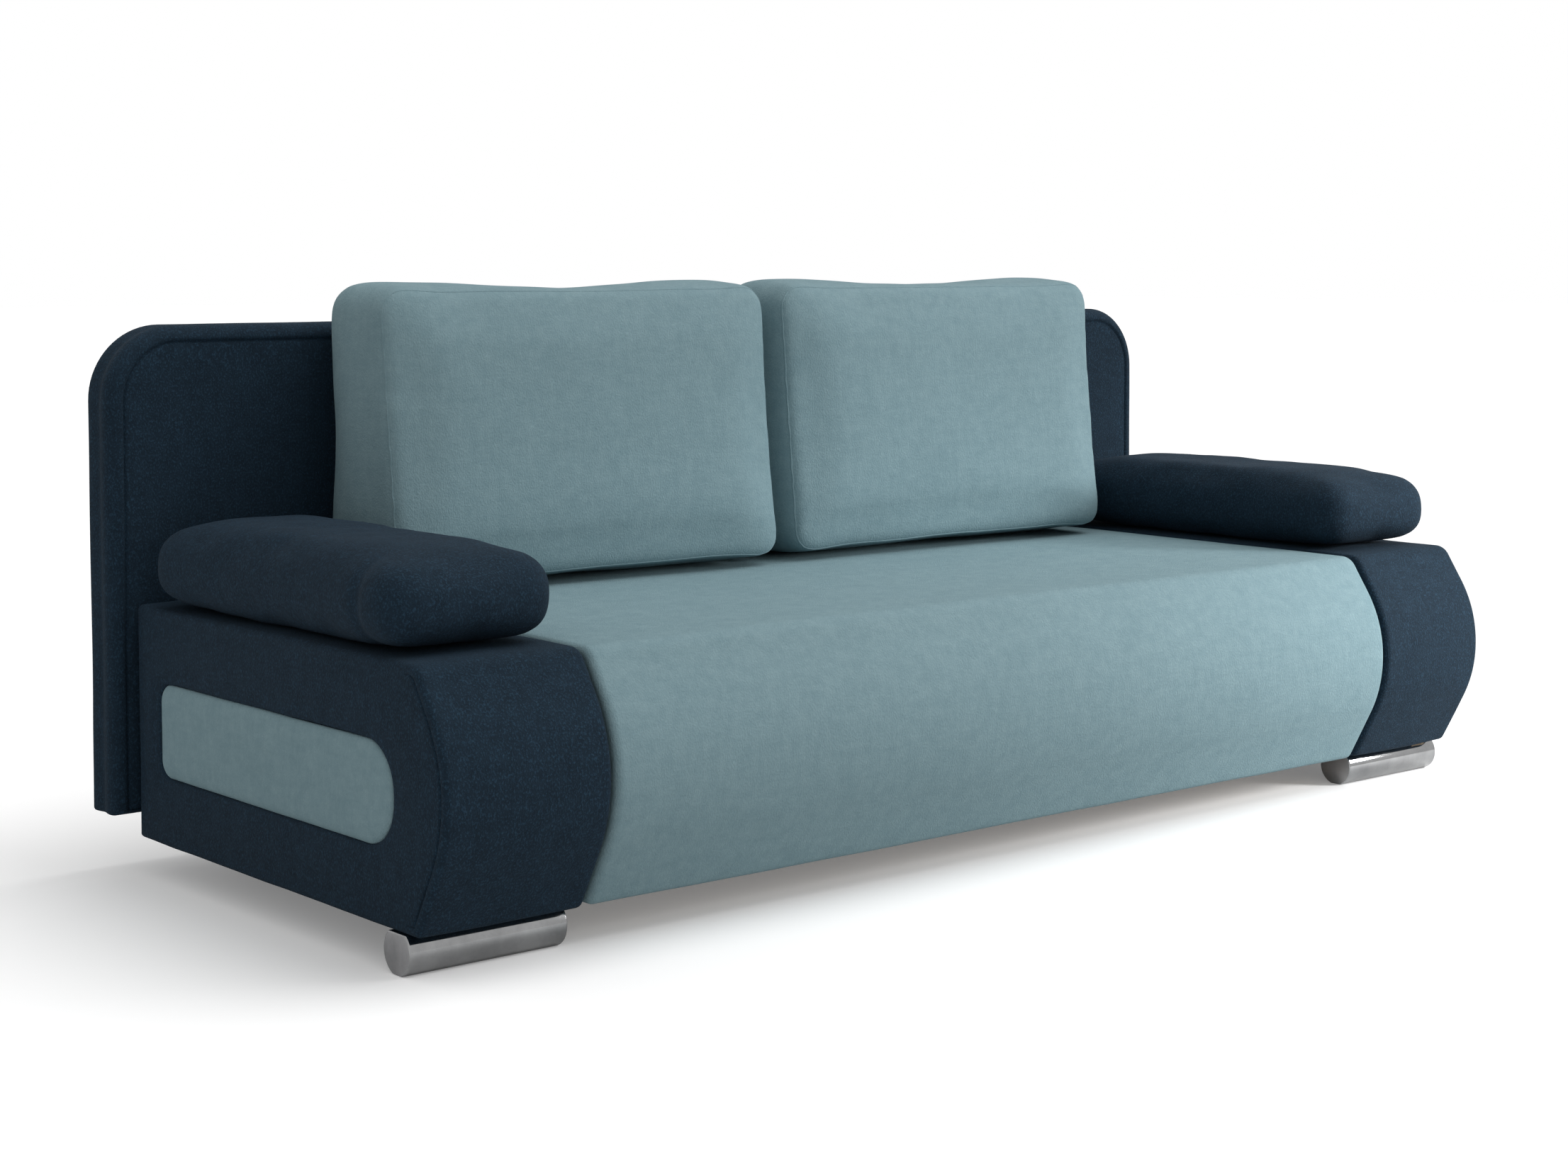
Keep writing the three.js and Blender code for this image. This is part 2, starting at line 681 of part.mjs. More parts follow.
// The outlines above count y from the front edge of the arms, so the sofa is
// moved to stand with its middle over the origin.
parts.position.y = (frontBulge - backRear) / 2;

const sofaBed = new THREE.Group();
sofaBed.name = 'futon_sofa_bed';
sofaBed.add(parts);

export default sofaBed;
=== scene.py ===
import json
import math

import bmesh
import bpy
import numpy as np
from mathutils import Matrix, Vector, noise
from mathutils.bvhtree import BVHTree


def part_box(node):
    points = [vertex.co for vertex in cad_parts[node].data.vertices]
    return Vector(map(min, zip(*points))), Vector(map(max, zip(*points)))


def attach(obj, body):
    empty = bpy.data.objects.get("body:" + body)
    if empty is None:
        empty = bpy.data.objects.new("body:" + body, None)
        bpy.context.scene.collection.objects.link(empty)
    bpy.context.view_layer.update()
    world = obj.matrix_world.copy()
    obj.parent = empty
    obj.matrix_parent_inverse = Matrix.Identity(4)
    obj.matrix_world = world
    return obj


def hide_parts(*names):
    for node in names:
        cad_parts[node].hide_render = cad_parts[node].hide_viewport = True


bl_info = {
    "name": "Futon sofa bed",
    "version": (1, 0, 0),
    "blender": (4, 5, 0),
    "location": "3D View > Sidebar > Sofa bed",
    "description": "Upholstery, cushions, feet and finishes of a futon sofa bed",
    "category": "Object",
}

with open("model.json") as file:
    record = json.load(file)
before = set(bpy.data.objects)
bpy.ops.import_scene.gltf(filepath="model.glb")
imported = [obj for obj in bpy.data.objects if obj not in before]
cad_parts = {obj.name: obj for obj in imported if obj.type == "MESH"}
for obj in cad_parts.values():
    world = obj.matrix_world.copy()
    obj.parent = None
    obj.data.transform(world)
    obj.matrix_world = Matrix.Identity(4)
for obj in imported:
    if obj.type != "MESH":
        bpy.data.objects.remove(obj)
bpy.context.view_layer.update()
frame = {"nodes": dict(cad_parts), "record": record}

# Places taken from the frame, in metres. The arms and the seat share one front.
ARM_LOW, ARM_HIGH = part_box("arm_cover_left")
SEAT_LOW, SEAT_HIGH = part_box("seat_pad")
APRON_LOW, APRON_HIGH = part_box("front_apron")
BACK_LOW, BACK_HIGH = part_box("back_cover")
INSET_LOW, INSET_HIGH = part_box("arm_inset_pad_left")
PANEL_LOW, PANEL_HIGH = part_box("back_rear_panel")
FRONT_BULGE = 0.065
BULGE_RISE = 0.169
BULGE_RADIUS = 0.190
TOP_EDGE = ARM_LOW.y + FRONT_BULGE
SIDES = (("left", -1), ("right", 1))


# ---- settings ----


def length(name, text, default, low=0.0, high=1.0):
    """A length that the user may change, in metres."""
    return bpy.props.FloatProperty(
        name=name, description=text, default=default, min=low, max=high,
        subtype="DISTANCE", unit="LENGTH", precision=4)


def colour(name, text, default):
    """A colour that the user may change."""
    return bpy.props.FloatVectorProperty(
        name=name, description=text, default=default, size=3, min=0.0, max=1.0, subtype="COLOR")


class SofaSizes(bpy.types.PropertyGroup):
    """Sizes of the upholstery and its details."""

    edge_radius: length("Arm edge", "Rounding of the arms' long edges", 0.009)
    top_radius: length("Front top edge", "Rounding of the top front edge", 0.028)
    low_radius: length("Front low edge", "Rounding of the lower front edge", 0.013)
    seam_set: length("Seam set", "How far a seam lies in from the edge of an arm's side", 0.012)
    seam_depth: length("Seam depth", "How deep a seam pulls into the padding", 0.0032)
    seat_edge: length("Seat edge", "Rounding of the seat's ends", 0.012)
    back_edge: length("Back edge", "Rounding of the backrest's front edge", 0.020)
    back_seam_set: length("Back seam set", "How far the backrest's seam lies in from its outline", 0.0235)
    back_corner: length("Back corner", "Radius of the backrest's top corners", 0.105)
    back_foot_corner: length("Back foot corner", "Radius of the backrest's lower corners", 0.006)
    cover_wall: length("Cover wall", "Padding and cloth on the backrest's frame", 0.012)
    slot_rise: length("Link slot", "Height of the swing links' slots", 0.037)
    slot_width: length("Link slot width", "Width of the swing links' slots", 0.014)
    inset_puff: length("Inset puff", "How far an inset pad swells out of its recess", 0.004)
    ripple: length("Ripple", "Height of the soft unevenness of stretched cloth", 0.0009)
    cushion_lean: length("Cushion lean", "How much thinner a back cushion is at its top", 0.044)
    voxel: length("Cloth mesh", "Mesh size of a simulated cushion", 0.007)
    swell: length("Swell", "The most that a cushion's cloth may move as it fills", 0.014)
    welt: length("Seam ridge", "Radius of the ridge along a cushion's seam", 0.0017)
    staple_pitch: length("Staple pitch", "Distance between the lining's staples", 0.055)


class SofaColours(bpy.types.PropertyGroup):
    """Colours of the finishes."""

    navy: colour("Navy", "Pile of the navy velour", (0.0050, 0.0142, 0.0250))
    navy_light: colour("Navy fleck", "Light tips of the navy pile", (0.021, 0.056, 0.095))
    teal: colour("Teal", "Pile of the teal velour", (0.170, 0.264, 0.295))
    teal_light: colour("Teal fleck", "Light tips of the teal pile", (0.254, 0.364, 0.394))
    timber: colour("Timber", "Planed pine", (0.50, 0.39, 0.27))
    steel: colour("Steel", "Dark grey paint", (0.10, 0.105, 0.115))
    chrome: colour("Chrome", "Polished plating", (0.50, 0.505, 0.51))
    plastic: colour("Plastic", "Black moulded plastic", (0.018, 0.018, 0.020))
    lining: colour("Lining", "Black spun lining cloth", (0.022, 0.022, 0.025))
    floor: colour("Floor", "Pale studio floor", (0.95, 0.95, 0.95))


def sizes():
    """The sizes that are set in the scene."""
    return bpy.context.scene.sofa_sizes


def colours():
    """The colours that are set in the scene."""
    return bpy.context.scene.sofa_colours


# ---- node helpers ----


def feed(tree, socket, value):
    """Gives a socket a plain value, or joins another node's output to it."""
    if isinstance(value, bpy.types.NodeSocket):
        tree.links.new(value, socket)
    else:
        socket.default_value = value


def node(tree, kind, inputs=None, **settings):
    """A node with its settings and its inputs, plain or joined."""
    made = tree.nodes.new(kind)
    for name, value in settings.items():
        setattr(made, name, value)
    for name, value in (inputs or {}).items():
        feed(tree, made.inputs[name], value)
    return made


def new_group(name, inputs, outputs, kind="ShaderNodeTree"):
    """An empty node group with the given sockets, and its input and output nodes."""
    group = bpy.data.node_groups.new(name, kind)
    for label, socket_type, value in inputs:
        socket = group.interface.new_socket(label, in_out="INPUT", socket_type=socket_type)
        if value is not None:
            socket.default_value = value
    for label, socket_type in outputs:
        group.interface.new_socket(label, in_out="OUTPUT", socket_type=socket_type)
    return group, group.nodes.new("NodeGroupInput"), group.nodes.new("NodeGroupOutput")


def noise_field(tree, coordinates, scale, detail=3.0, roughness=0.55, stretch=(1, 1, 1)):
    """Noise over the surface, stretched along the axes."""
    mapping = node(tree, "ShaderNodeMapping", {"Vector": coordinates, "Scale": stretch})
    field = node(tree, "ShaderNodeTexNoise", {
        "Vector": mapping.outputs["Vector"], "Scale": scale, "Detail": detail, "Roughness": roughness})
    return field.outputs["Fac"]


def remap(tree, value, low, high, to_low=0.0, to_high=1.0):
    """The value brought from one range to another, and held inside it."""
    made = node(tree, "ShaderNodeMapRange", {
        "Value": value, "From Min": low, "From Max": high, "To Min": to_low, "To Max": to_high})
    return made.outputs["Result"]


def maths(tree, operation, first, second=0.0):
    """One sum of two sockets or numbers."""
    made = node(tree, "ShaderNodeMath", {0: first, 1: second}, operation=operation)
    return made.outputs["Value"]


def times(tree, first, second):
    """The product of two sockets or numbers."""
    return maths(tree, "MULTIPLY", first, second)


def mixed(tree, factor, first, second):
    """A colour between two colours."""
    made = node(tree, "ShaderNodeMix", {0: factor, 6: first, 7: second}, data_type="RGBA")
    return made.outputs[2]


# ---- finishes ----


def velour_group():
    """Brushed velour: cloudy nap, fine pile grain and bright tips."""
    group, given, out = new_group(
        "velour_nap",
        [("Vector", "NodeSocketVector", None), ("Pile", "NodeSocketColor", None),
         ("Tips", "NodeSocketColor", None), ("Cloud", "NodeSocketFloat", 0.3),
         ("Fleck", "NodeSocketFloat", 0.5)],
        [("Color", "NodeSocketColor"), ("Roughness", "NodeSocketFloat"), ("Height", "NodeSocketFloat")])
    place = given.outputs["Vector"]
    cloud = remap(group, noise_field(group, place, 9.0, 5.0, 0.65), 0.30, 0.72, 0.0, 0.40)
    upright = remap(group, noise_field(group, place, 95.0, 5.0, 0.72, (1.0, 1.0, 0.30)), 0.40, 0.60)
    across = remap(group, noise_field(group, place, 80.0, 5.0, 0.72, (0.35, 0.35, 1.0)), 0.40, 0.60)
    brushed = times(group, maths(group, "ADD", upright, across), 0.60)
    blotch = times(group, maths(group, "ADD", cloud, brushed), given.outputs["Cloud"])
    grain = noise_field(group, place, 420.0, 2.0, 0.6, (1.0, 1.0, 0.7))
    pile = noise_field(group, place, 1100.0, 1.0, 0.5)
    tips = times(group, remap(group, grain, 0.50, 0.72), given.outputs["Fleck"])
    amount = maths(group, "ADD", blotch, tips)
    tint = mixed(group, amount, given.outputs["Pile"], given.outputs["Tips"])
    feed(group, out.inputs["Color"], tint)
    feed(group, out.inputs["Roughness"], remap(group, blotch, 0.0, 0.6, 0.94, 0.80))
    feed(group, out.inputs["Height"], maths(group, "ADD", grain, times(group, pile, 0.35)))
    return group


def wear_group():
    """Handling marks on hard finishes: faint smears and fine scratches."""
    group, given, out = new_group(
        "handling_marks",
        [("Vector", "NodeSocketVector", None), ("Color", "NodeSocketColor", None),
         ("Marked", "NodeSocketColor", None), ("Low Roughness", "NodeSocketFloat", 0.2),
         ("High Roughness", "NodeSocketFloat", 0.4), ("Grain", "NodeSocketFloat", 0.3)],
        [("Color", "NodeSocketColor"), ("Roughness", "NodeSocketFloat"), ("Height", "NodeSocketFloat")])
    place = given.outputs["Vector"]
    low, high = given.outputs["Low Roughness"], given.outputs["High Roughness"]
    smear = remap(group, noise_field(group, place, 14.0, 5.0, 0.62), 0.40, 0.70)
    streak = noise_field(group, place, 60.0, 4.0, 0.6, (0.05, 1.0, 1.0))
    amount = times(group, smear, given.outputs["Grain"])
    tint = mixed(group, amount, given.outputs["Color"], given.outputs["Marked"])
    rise = times(group, times(group, smear, streak), maths(group, "SUBTRACT", high, low))
    feed(group, out.inputs["Color"], tint)
    feed(group, out.inputs["Roughness"], maths(group, "ADD", low, rise))
    feed(group, out.inputs["Height"], streak)
    return group


def new_material(name, constants):
    """A material with one Principled shader and its constant values."""
    material = bpy.data.materials.new(name + "_finish")
    material.use_nodes = True
    tree = material.node_tree
    shader = tree.nodes["Principled BSDF"]
    for label, value in constants.items():
        shader.inputs[label].default_value = value
    place = node(tree, "ShaderNodeTexCoord").outputs["Object"]
    return tree, shader, place


def bumped(tree, shader, height, distance, strength):
    """Gives the shader a fine relief."""
    bump = node(tree, "ShaderNodeBump", {"Height": height, "Distance": distance, "Strength": strength})
    feed(tree, shader.inputs["Normal"], bump.outputs["Normal"])


def coated(tree, shader, group_name, inputs, distance, strength):
    """Gives the shader the colour, roughness and relief of a node group."""
    group = node(tree, "ShaderNodeGroup", inputs, node_tree=bpy.data.node_groups[group_name])
    feed(tree, shader.inputs["Base Color"], group.outputs["Color"])
    feed(tree, shader.inputs["Roughness"], group.outputs["Roughness"])
    bumped(tree, shader, group.outputs["Height"], distance, strength)


def opaque(value):
    """A colour with its alpha."""
    return (value[0], value[1], value[2], 1.0)


def velour(name, pile, tips, cloud, fleck, sheen):
    """A velour of one colour."""
    tree, shader, place = new_material(name, {
        "Sheen Weight": sheen, "Sheen Roughness": 0.38, "Sheen Tint": opaque(tips),
        "Specular IOR Level": 0.22})
    inputs = {
        "Vector": place, "Pile": opaque(pile), "Tips": opaque(tips), "Cloud": cloud, "Fleck": fleck}
    coated(tree, shader, "velour_nap", inputs, 0.0016, 0.75)


def hard_finish(name, base, marked, low, high, grain, bump, constants):
    """A metal or plastic with handling marks."""
    tree, shader, place = new_material(name, constants)
    inputs = {
        "Vector": place, "Color": opaque(base), "Marked": opaque(marked), "Grain": grain,
        "Low Roughness": low, "High Roughness": high}
    coated(tree, shader, "handling_marks", inputs, 0.0002, bump)


def timber_finish(base):
    """Planed pine with long grain along its boards."""
    tree, shader, place = new_material("timber", {"Specular IOR Level": 0.35})
    fibre = noise_field(tree, place, 75.0, 6.0, 0.62, (0.04, 1.0, 1.0))
    rings = noise_field(tree, place, 6.0, 2.0, 0.4, (0.05, 1.0, 2.2))
    wave = maths(tree, "SINE", times(tree, rings, 46.0))
    figure = maths(tree, "ADD", times(tree, wave, 0.14), fibre)
    late = (base[0] * 0.68, base[1] * 0.61, base[2] * 0.54, 1.0)
    grain = mixed(tree, remap(tree, figure, 0.20, 0.85), opaque(base), late)
    feed(tree, shader.inputs["Base Color"], grain)
    feed(tree, shader.inputs["Roughness"], remap(tree, fibre, 0.3, 0.7, 0.52, 0.72))
    bumped(tree, shader, fibre, 0.0006, 0.4)


def lining_finish(base):
    """Spun lining cloth: dull, with a fine crossed weave."""
    tree, shader, place = new_material("black_cloth", {
        "Sheen Weight": 0.15, "Specular IOR Level": 0.2})
    threads = {"Vector": place, "Scale": 160.0, "Distortion": 1.5}
    warp = node(tree, "ShaderNodeTexWave", threads, bands_direction="X")
    weft = node(tree, "ShaderNodeTexWave", threads, bands_direction="Z")
    weave = times(tree, warp.outputs["Fac"], weft.outputs["Fac"])
    mottle = noise_field(tree, place, 90.0, 4.0, 0.65)
    light = tuple(min(1.0, channel * 2.6) for channel in base)
    tint = mixed(tree, times(tree, weave, mottle), opaque(base), opaque(light))
    feed(tree, shader.inputs["Base Color"], tint)
    feed(tree, shader.inputs["Roughness"], remap(tree, mottle, 0.3, 0.7, 0.80, 0.95))
    bumped(tree, shader, weave, 0.0006, 0.5)


def floor_finish(base):
    """A pale matt floor with hardly any tone, dimmer in what it throws back than as seen."""
    tree, shader, place = new_material("studio_floor", {
        "Specular IOR Level": 0.1, "Emission Color": (1.0, 1.0, 1.0, 1.0)})
    tone = noise_field(tree, place, 1.5, 2.0, 0.5)
    darker = tuple(channel * 0.985 for channel in base)
    dim = tuple(channel * 0.68 for channel in base)
    seen = node(tree, "ShaderNodeLightPath").outputs["Is Camera Ray"]
    pale = mixed(tree, tone, opaque(base), opaque(darker))
    feed(tree, shader.inputs["Base Color"], mixed(tree, seen, opaque(dim), pale))
    feed(tree, shader.inputs["Emission Strength"], times(tree, seen, 0.17))
    feed(tree, shader.inputs["Roughness"], remap(tree, tone, 0.3, 0.7, 0.85, 0.95))


def make_finishes():
    """Every finish, once. A finish has the name of the slot it belongs to."""
    if "velour_nap" in bpy.data.node_groups:
        return
    velour_group()
    wear_group()
    tint = colours()
    velour("navy_fabric", tint.navy, tint.navy_light, 0.12, 0.62, 0.10)
    velour("teal_fabric", tint.teal, tint.teal_light, 0.30, 0.26, 0.08)
    hard_finish("chrome", tint.chrome, (0.26, 0.265, 0.27), 0.07, 0.26, 0.7, 0.06, {"Metallic": 1.0})
    hard_finish(
        "brushed_end", (0.55, 0.55, 0.56), (0.30, 0.30, 0.31), 0.34, 0.58, 0.8, 0.5, {"Metallic": 0.9})
    hard_finish("steel", tint.steel, (0.17, 0.17, 0.175), 0.30, 0.60, 0.5, 0.15, {"Metallic": 0.2})
    hard_finish(
        "staple_wire", (0.62, 0.61, 0.58), (0.40, 0.39, 0.37), 0.25, 0.50, 0.6, 0.1, {"Metallic": 1.0})
    hard_finish("black_plastic", tint.plastic, (0.045, 0.045, 0.047), 0.42, 0.72, 0.4, 0.2, {})
    timber_finish(tint.timber)
    lining_finish(tint.lining)
    floor_finish(tint.floor)


def finish(name):
    """The finish of a slot."""
    make_finishes()
    return bpy.data.materials[name + "_finish"]


# ---- outlines ----


def turns_of(corners):
    """Each corner of an outline with the directions in which it is reached and left."""
    for i, here in enumerate(corners):
        along = here - corners[i - 1]
        ahead = corners[(i + 1) % len(corners)] - here
        yield here, along / np.linalg.norm(along), ahead / np.linalg.norm(ahead)


def offset_corners(corners, inset):
    """The corners of an anticlockwise outline whose sides have all moved inwards."""
    moved = []
    for here, along, ahead in turns_of(corners):
        side = np.array((-along[1], along[0]))
        next_side = np.array((-ahead[1], ahead[0]))
        moved.append(here + (side + next_side) * inset / (1.0 + side @ next_side))
    return moved


def rounded(corners, radii, steps, runs, inset=0.0, least=0.0015):
    """An anticlockwise outline with rounded corners, as evenly numbered points.

    steps gives each corner's number of steps, and runs each side's, from that corner on.
    """
    corners = offset_corners([np.array(corner, float) for corner in corners], inset)
    arcs = []
    for i, (here, along, ahead) in enumerate(turns_of(corners)):
        turn = math.atan2(along[0] * ahead[1] - along[1] * ahead[0], along @ ahead)
        sign = 1.0 if turn > 0 else -1.0
        radius = max(radii[i] - sign * inset, least)
        reach = radius * math.tan(abs(turn) / 2)
        centre = here - along * reach + sign * radius * np.array((-along[1], along[0]))
        start = math.atan2(*(here - along * reach - centre)[::-1])
        angles = start + np.linspace(0.0, turn, steps[i] + 1)
        arcs.append(centre + radius * np.column_stack((np.cos(angles), np.sin(angles))))
    points = []
    for i, arc in enumerate(arcs):
        points.extend(arc)
        end = arcs[(i + 1) % len(arcs)][0]
        share = np.linspace(0.0, 1.0, runs[i] + 1)[1:-1, None]
        points.extend(arc[-1] * (1 - share) + end * share)
    return np.array(points)


def view_corners(low, high, axis):
    """A box's corners as seen across an axis, anticlockwise from the low one."""
    start, end = getattr(low, axis), getattr(high, axis)
    return [(start, low.z), (end, low.z), (end, high.z), (start, high.z)]


def bulge_corner(low, top):
    """Where the two straight runs beside the front's round bulge would meet."""
    centre = np.array((TOP_EDGE + BULGE_RADIUS - FRONT_BULGE, low + BULGE_RISE))
    reach = []
    for corner, sign in ((np.array((TOP_EDGE, top)), 1), (np.array((TOP_EDGE, low)), -1)):
        to_corner = corner - centre
        lean = math.acos(BULGE_RADIUS / np.linalg.norm(to_corner))
        reach.append(math.atan2(to_corner[1], to_corner[0]) % (2 * math.pi) + sign * lean)
    middle = sum(reach) / 2
    far = BULGE_RADIUS / math.cos((reach[1] - reach[0]) / 2)
    return centre + far * np.array((math.cos(middle), math.sin(middle)))


def arm_outline(inset):
    """An arm's side view (y, z), anticlockwise from its low front edge."""
    size = sizes()
    low, top, rear = ARM_LOW.z, ARM_HIGH.z, ARM_HIGH.y
    corners = [(TOP_EDGE, low), (rear, low), (rear, top), (TOP_EDGE, top), bulge_corner(low, top)]
    radii = [size.low_radius, 0.006, 0.008, size.top_radius, BULGE_RADIUS]
    return rounded(corners, radii, [7, 4, 4, 8, 34], [44, 26, 54, 8, 8], inset)


def seat_outline(inset):
    """The seat's side view (y, z): the pad with the front apron hanging from it."""
    size = sizes()
    low, top, rear = APRON_LOW.z, SEAT_HIGH.z, SEAT_HIGH.y
    corners = [
        (TOP_EDGE, low), (APRON_HIGH.y, low), (APRON_HIGH.y, SEAT_LOW.z), (rear, SEAT_LOW.z),
        (rear, top), (TOP_EDGE, top), bulge_corner(low, top)]
    radii = [size.low_radius, 0.012, 0.004, 0.016, 0.030, size.top_radius, BULGE_RADIUS]
    return rounded(corners, radii, [7, 4, 2, 4, 8, 8, 34], [6, 20, 50, 6, 60, 8, 8], inset)


def inset_outline(inset):
    """The outline (y, z) of the pad let into an arm's side."""
    corners = view_corners(INSET_LOW, INSET_HIGH, "y")
    return rounded(corners, [0.060, 0.026, 0.026, 0.060], [14, 8, 8, 14], [46, 8, 46, 4], inset)


def back_outline(inset):
    """The backrest's front view (x, z)."""
    size = sizes()
    corners = view_corners(BACK_LOW, BACK_HIGH, "x")
    radii = [size.back_foot_corner, size.back_foot_corner, size.back_corner, size.back_corner]
    return rounded(corners, radii, [6, 6, 18, 18], [90, 28, 90, 28], inset)


# ---- mesh helpers ----


def linked(name, data):
    """A new object in the scene."""
    piece = bpy.data.objects.new(name, data)
    bpy.context.scene.collection.objects.link(piece)
    return piece


def new_piece(name, vertices, faces, material):
    """A smooth closed piece with its faces pointing out, at the origin."""
    mesh = bpy.data.meshes.new(name)
    mesh.from_pydata([tuple(v) for v in vertices], [], [tuple(f) for f in faces])
    shell = bmesh.new()
    shell.from_mesh(mesh)
    bmesh.ops.remove_doubles(shell, verts=shell.verts, dist=1e-5)
    bmesh.ops.recalc_face_normals(shell, faces=shell.faces)
    if shell.calc_volume(signed=True) < 0:
        bmesh.ops.reverse_faces(shell, faces=shell.faces)
    shell.to_mesh(mesh)
    shell.free()
    mesh.polygons.foreach_set("use_smooth", [True] * len(mesh.polygons))
    mesh.materials.append(finish(material))
    return linked(name, mesh)


def loft(name, rings, material):
    """A closed piece through rings of as many points each, flat at both ends."""
    count = len(rings[0])
    vertices = np.vstack(rings)
    faces = [list(range(count))[::-1]]
    for i in range(len(rings) - 1):
        a, b = i * count, (i + 1) * count
        for j in range(count):
            k = (j + 1) % count
            faces.append((a + j, a + k, b + k, b + j))
    last = (len(rings) - 1) * count
    faces.append(list(range(last, last + count)))
    return new_piece(name, vertices, faces, material)


def at_x(outline, x):
    """A side-view outline (y, z) as a ring at x."""
    return np.column_stack((np.full(len(outline), x), outline[:, 0], outline[:, 1]))


def at_y(outline, y):
    """A front-view outline (x, z) as a ring at y."""
    return np.column_stack((outline[:, 0], np.full(len(outline), y), outline[:, 1]))


def mirrored(rings, side):
    """The rings, made for the right, on the side they belong to."""
    for ring in rings:
        ring[:, 0] *= side
    return rings


def quarter(radius, steps):
    """Pairs (inset, depth) round a quarter circle, from a face to the side."""
    angles = np.linspace(math.pi / 2, 0.0, steps + 1)
    return [(radius * (1 - math.cos(a)), radius * (1 - math.sin(a))) for a in angles]


def soften(piece, height, span, seed):
    """Moves the surface in and out a little, as cloth over foam lies."""
    mesh = piece.data
    shift = Vector((seed * 3.7, seed * 1.9, seed * 5.3))
    normals = [vertex.normal.copy() for vertex in mesh.vertices]
    for vertex, normal in zip(mesh.vertices, normals):
        broad = noise.noise(vertex.co / span + shift)
        fine = noise.noise(vertex.co * 2.3 / span + shift)
        vertex.co += normal * ((broad + 0.5 * fine) * height)
    mesh.update()


def as_mesh(holder, name):
    """The evaluated holder as a plain mesh piece; the holder is removed."""
    bpy.context.view_layer.update()
    depsgraph = bpy.context.evaluated_depsgraph_get()
    mesh = bpy.data.meshes.new_from_object(holder.evaluated_get(depsgraph))
    bpy.data.objects.remove(holder)
    mesh.name = name
    return linked(name, mesh)


def stands_for(piece, body, slot, *nodes):
    """The piece rides on its body and stands for its plain solids."""
    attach(piece, body)
    if nodes:
        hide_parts(*nodes)
    return piece


# ---- arms and their inset pads ----


def polar_match(ring, outline):
    """For each point of the ring, the point of the outline in the same direction."""
    centre = (outline.min(0) + outline.max(0)) / 2
    closed = np.vstack((outline, outline[:1]))
    share = np.linspace(0, 1, 12, endpoint=False)[:, None]
    runs = [start + (end - start) * share for start, end in zip(closed, closed[1:])]
    dense = np.vstack(runs) - centre
    angles = np.arctan2(dense[:, 1], dense[:, 0])
    order = np.argsort(angles)
    wanted = ring - centre
    directions = np.arctan2(wanted[:, 1], wanted[:, 0])
    reach = np.interp(directions, angles[order], np.hypot(*dense.T)[order], period=2 * math.pi)
    return centre + np.column_stack((np.cos(directions), np.sin(directions))) * reach[:, None]


def arm_rings(side):
    """The arm's rings from its seat side out to the floor of the inset recess."""
    size = sizes()
    inner, outer = -ARM_HIGH.x, -ARM_LOW.x
    edge = quarter(size.edge_radius, 6)
    straight = outer - inner - 2 * size.edge_radius
    rings = [at_x(arm_outline(size.edge_radius + 0.004), inner)]
    rings += [at_x(arm_outline(inset), inner + depth) for inset, depth in edge]
    for share in np.linspace(0.0, 1.0, 14)[1:-1]:
        swell = -0.0012 * math.sin(math.pi * share)
        rings.append(at_x(arm_outline(swell), inner + size.edge_radius + share * straight))
    rings += [at_x(arm_outline(inset), outer - depth) for inset, depth in reversed(edge)]
    seam = [(-0.0015, 0.0005), (-0.0004, 0.65), (0.0006, 1.0), (0.0016, 0.65), (0.003, 0.05), (0.006, 0.0)]
    for step, share in seam:
        outline = arm_outline(size.seam_set + step)
        at_front = np.clip((TOP_EDGE + 0.022 - outline[:, 0]) / 0.012, 0.0, 1.0)
        ring = at_x(outline, outer)
        ring[:, 0] -= share * size.seam_depth * at_front
        rings.append(ring)
    border = arm_outline(size.seam_set + 0.010)
    target = polar_match(border, inset_outline(-0.007))
    for share in np.linspace(0.0, 1.0, 9):
        puff = 0.0006 + 0.0022 * math.sin(math.pi * min(1.0, share * 1.05))
        rings.append(at_x(border * (1 - share) + target * share, outer + puff))
    lip = [(-0.004, 0.0002), (-0.0015, -0.0012), (0.0, -0.0032), (0.0004, -0.0064), (0.003, -0.0066)]
    for step, rise in lip:
        rings.append(at_x(polar_match(border, inset_outline(step)), outer + rise))
    return mirrored(rings, side)


class SOFA_OT_arms(bpy.types.Operator):
    """Makes the two padded arms: curved front, seam round the side, recess for the inset pad"""

    bl_idname = "sofa.arms"
    bl_label = "Arms"

    def execute(self, context):
        for seed, (label, side) in enumerate(SIDES):
            arm = loft(f"arm_upholstery_{label}", arm_rings(side), "navy_fabric")
            soften(arm, sizes().ripple, 0.16, seed + 1)
            stands_for(arm, "base", "navy_fabric", f"arm_cover_{label}")
        return {"FINISHED"}


class SOFA_OT_inset_pads(bpy.types.Operator):
    """Makes the teal pads let into the arms' outer sides"""

    bl_idname = "sofa.inset_pads"
    bl_label = "Inset pads"

    def execute(self, context):
        size = sizes()
        outer = -INSET_LOW.x
        sunk = [(0.0035, -0.0062), (0.0008, -0.0058), (0.0004, -0.0040), (0.0012, -0.0022), (0.003, -0.0004)]
        swell = [(0.006, 0.35), (0.010, 0.60), (0.016, 0.80), (0.024, 0.92), (0.036, 0.98), (0.050, 1.0)]
        profile = sunk + [(inset, share * size.inset_puff) for inset, share in swell]
        for seed, (label, side) in enumerate(SIDES):
            rings = [at_x(inset_outline(inset), outer + height) for inset, height in profile]
            pad = loft(f"inset_pad_{label}", mirrored(rings, side), "teal_fabric")
            soften(pad, sizes().ripple * 0.7, 0.12, seed + 11)
            stands_for(pad, "base", "teal_fabric", f"arm_inset_pad_{label}")
        return {"FINISHED"}


# ---- seat ----


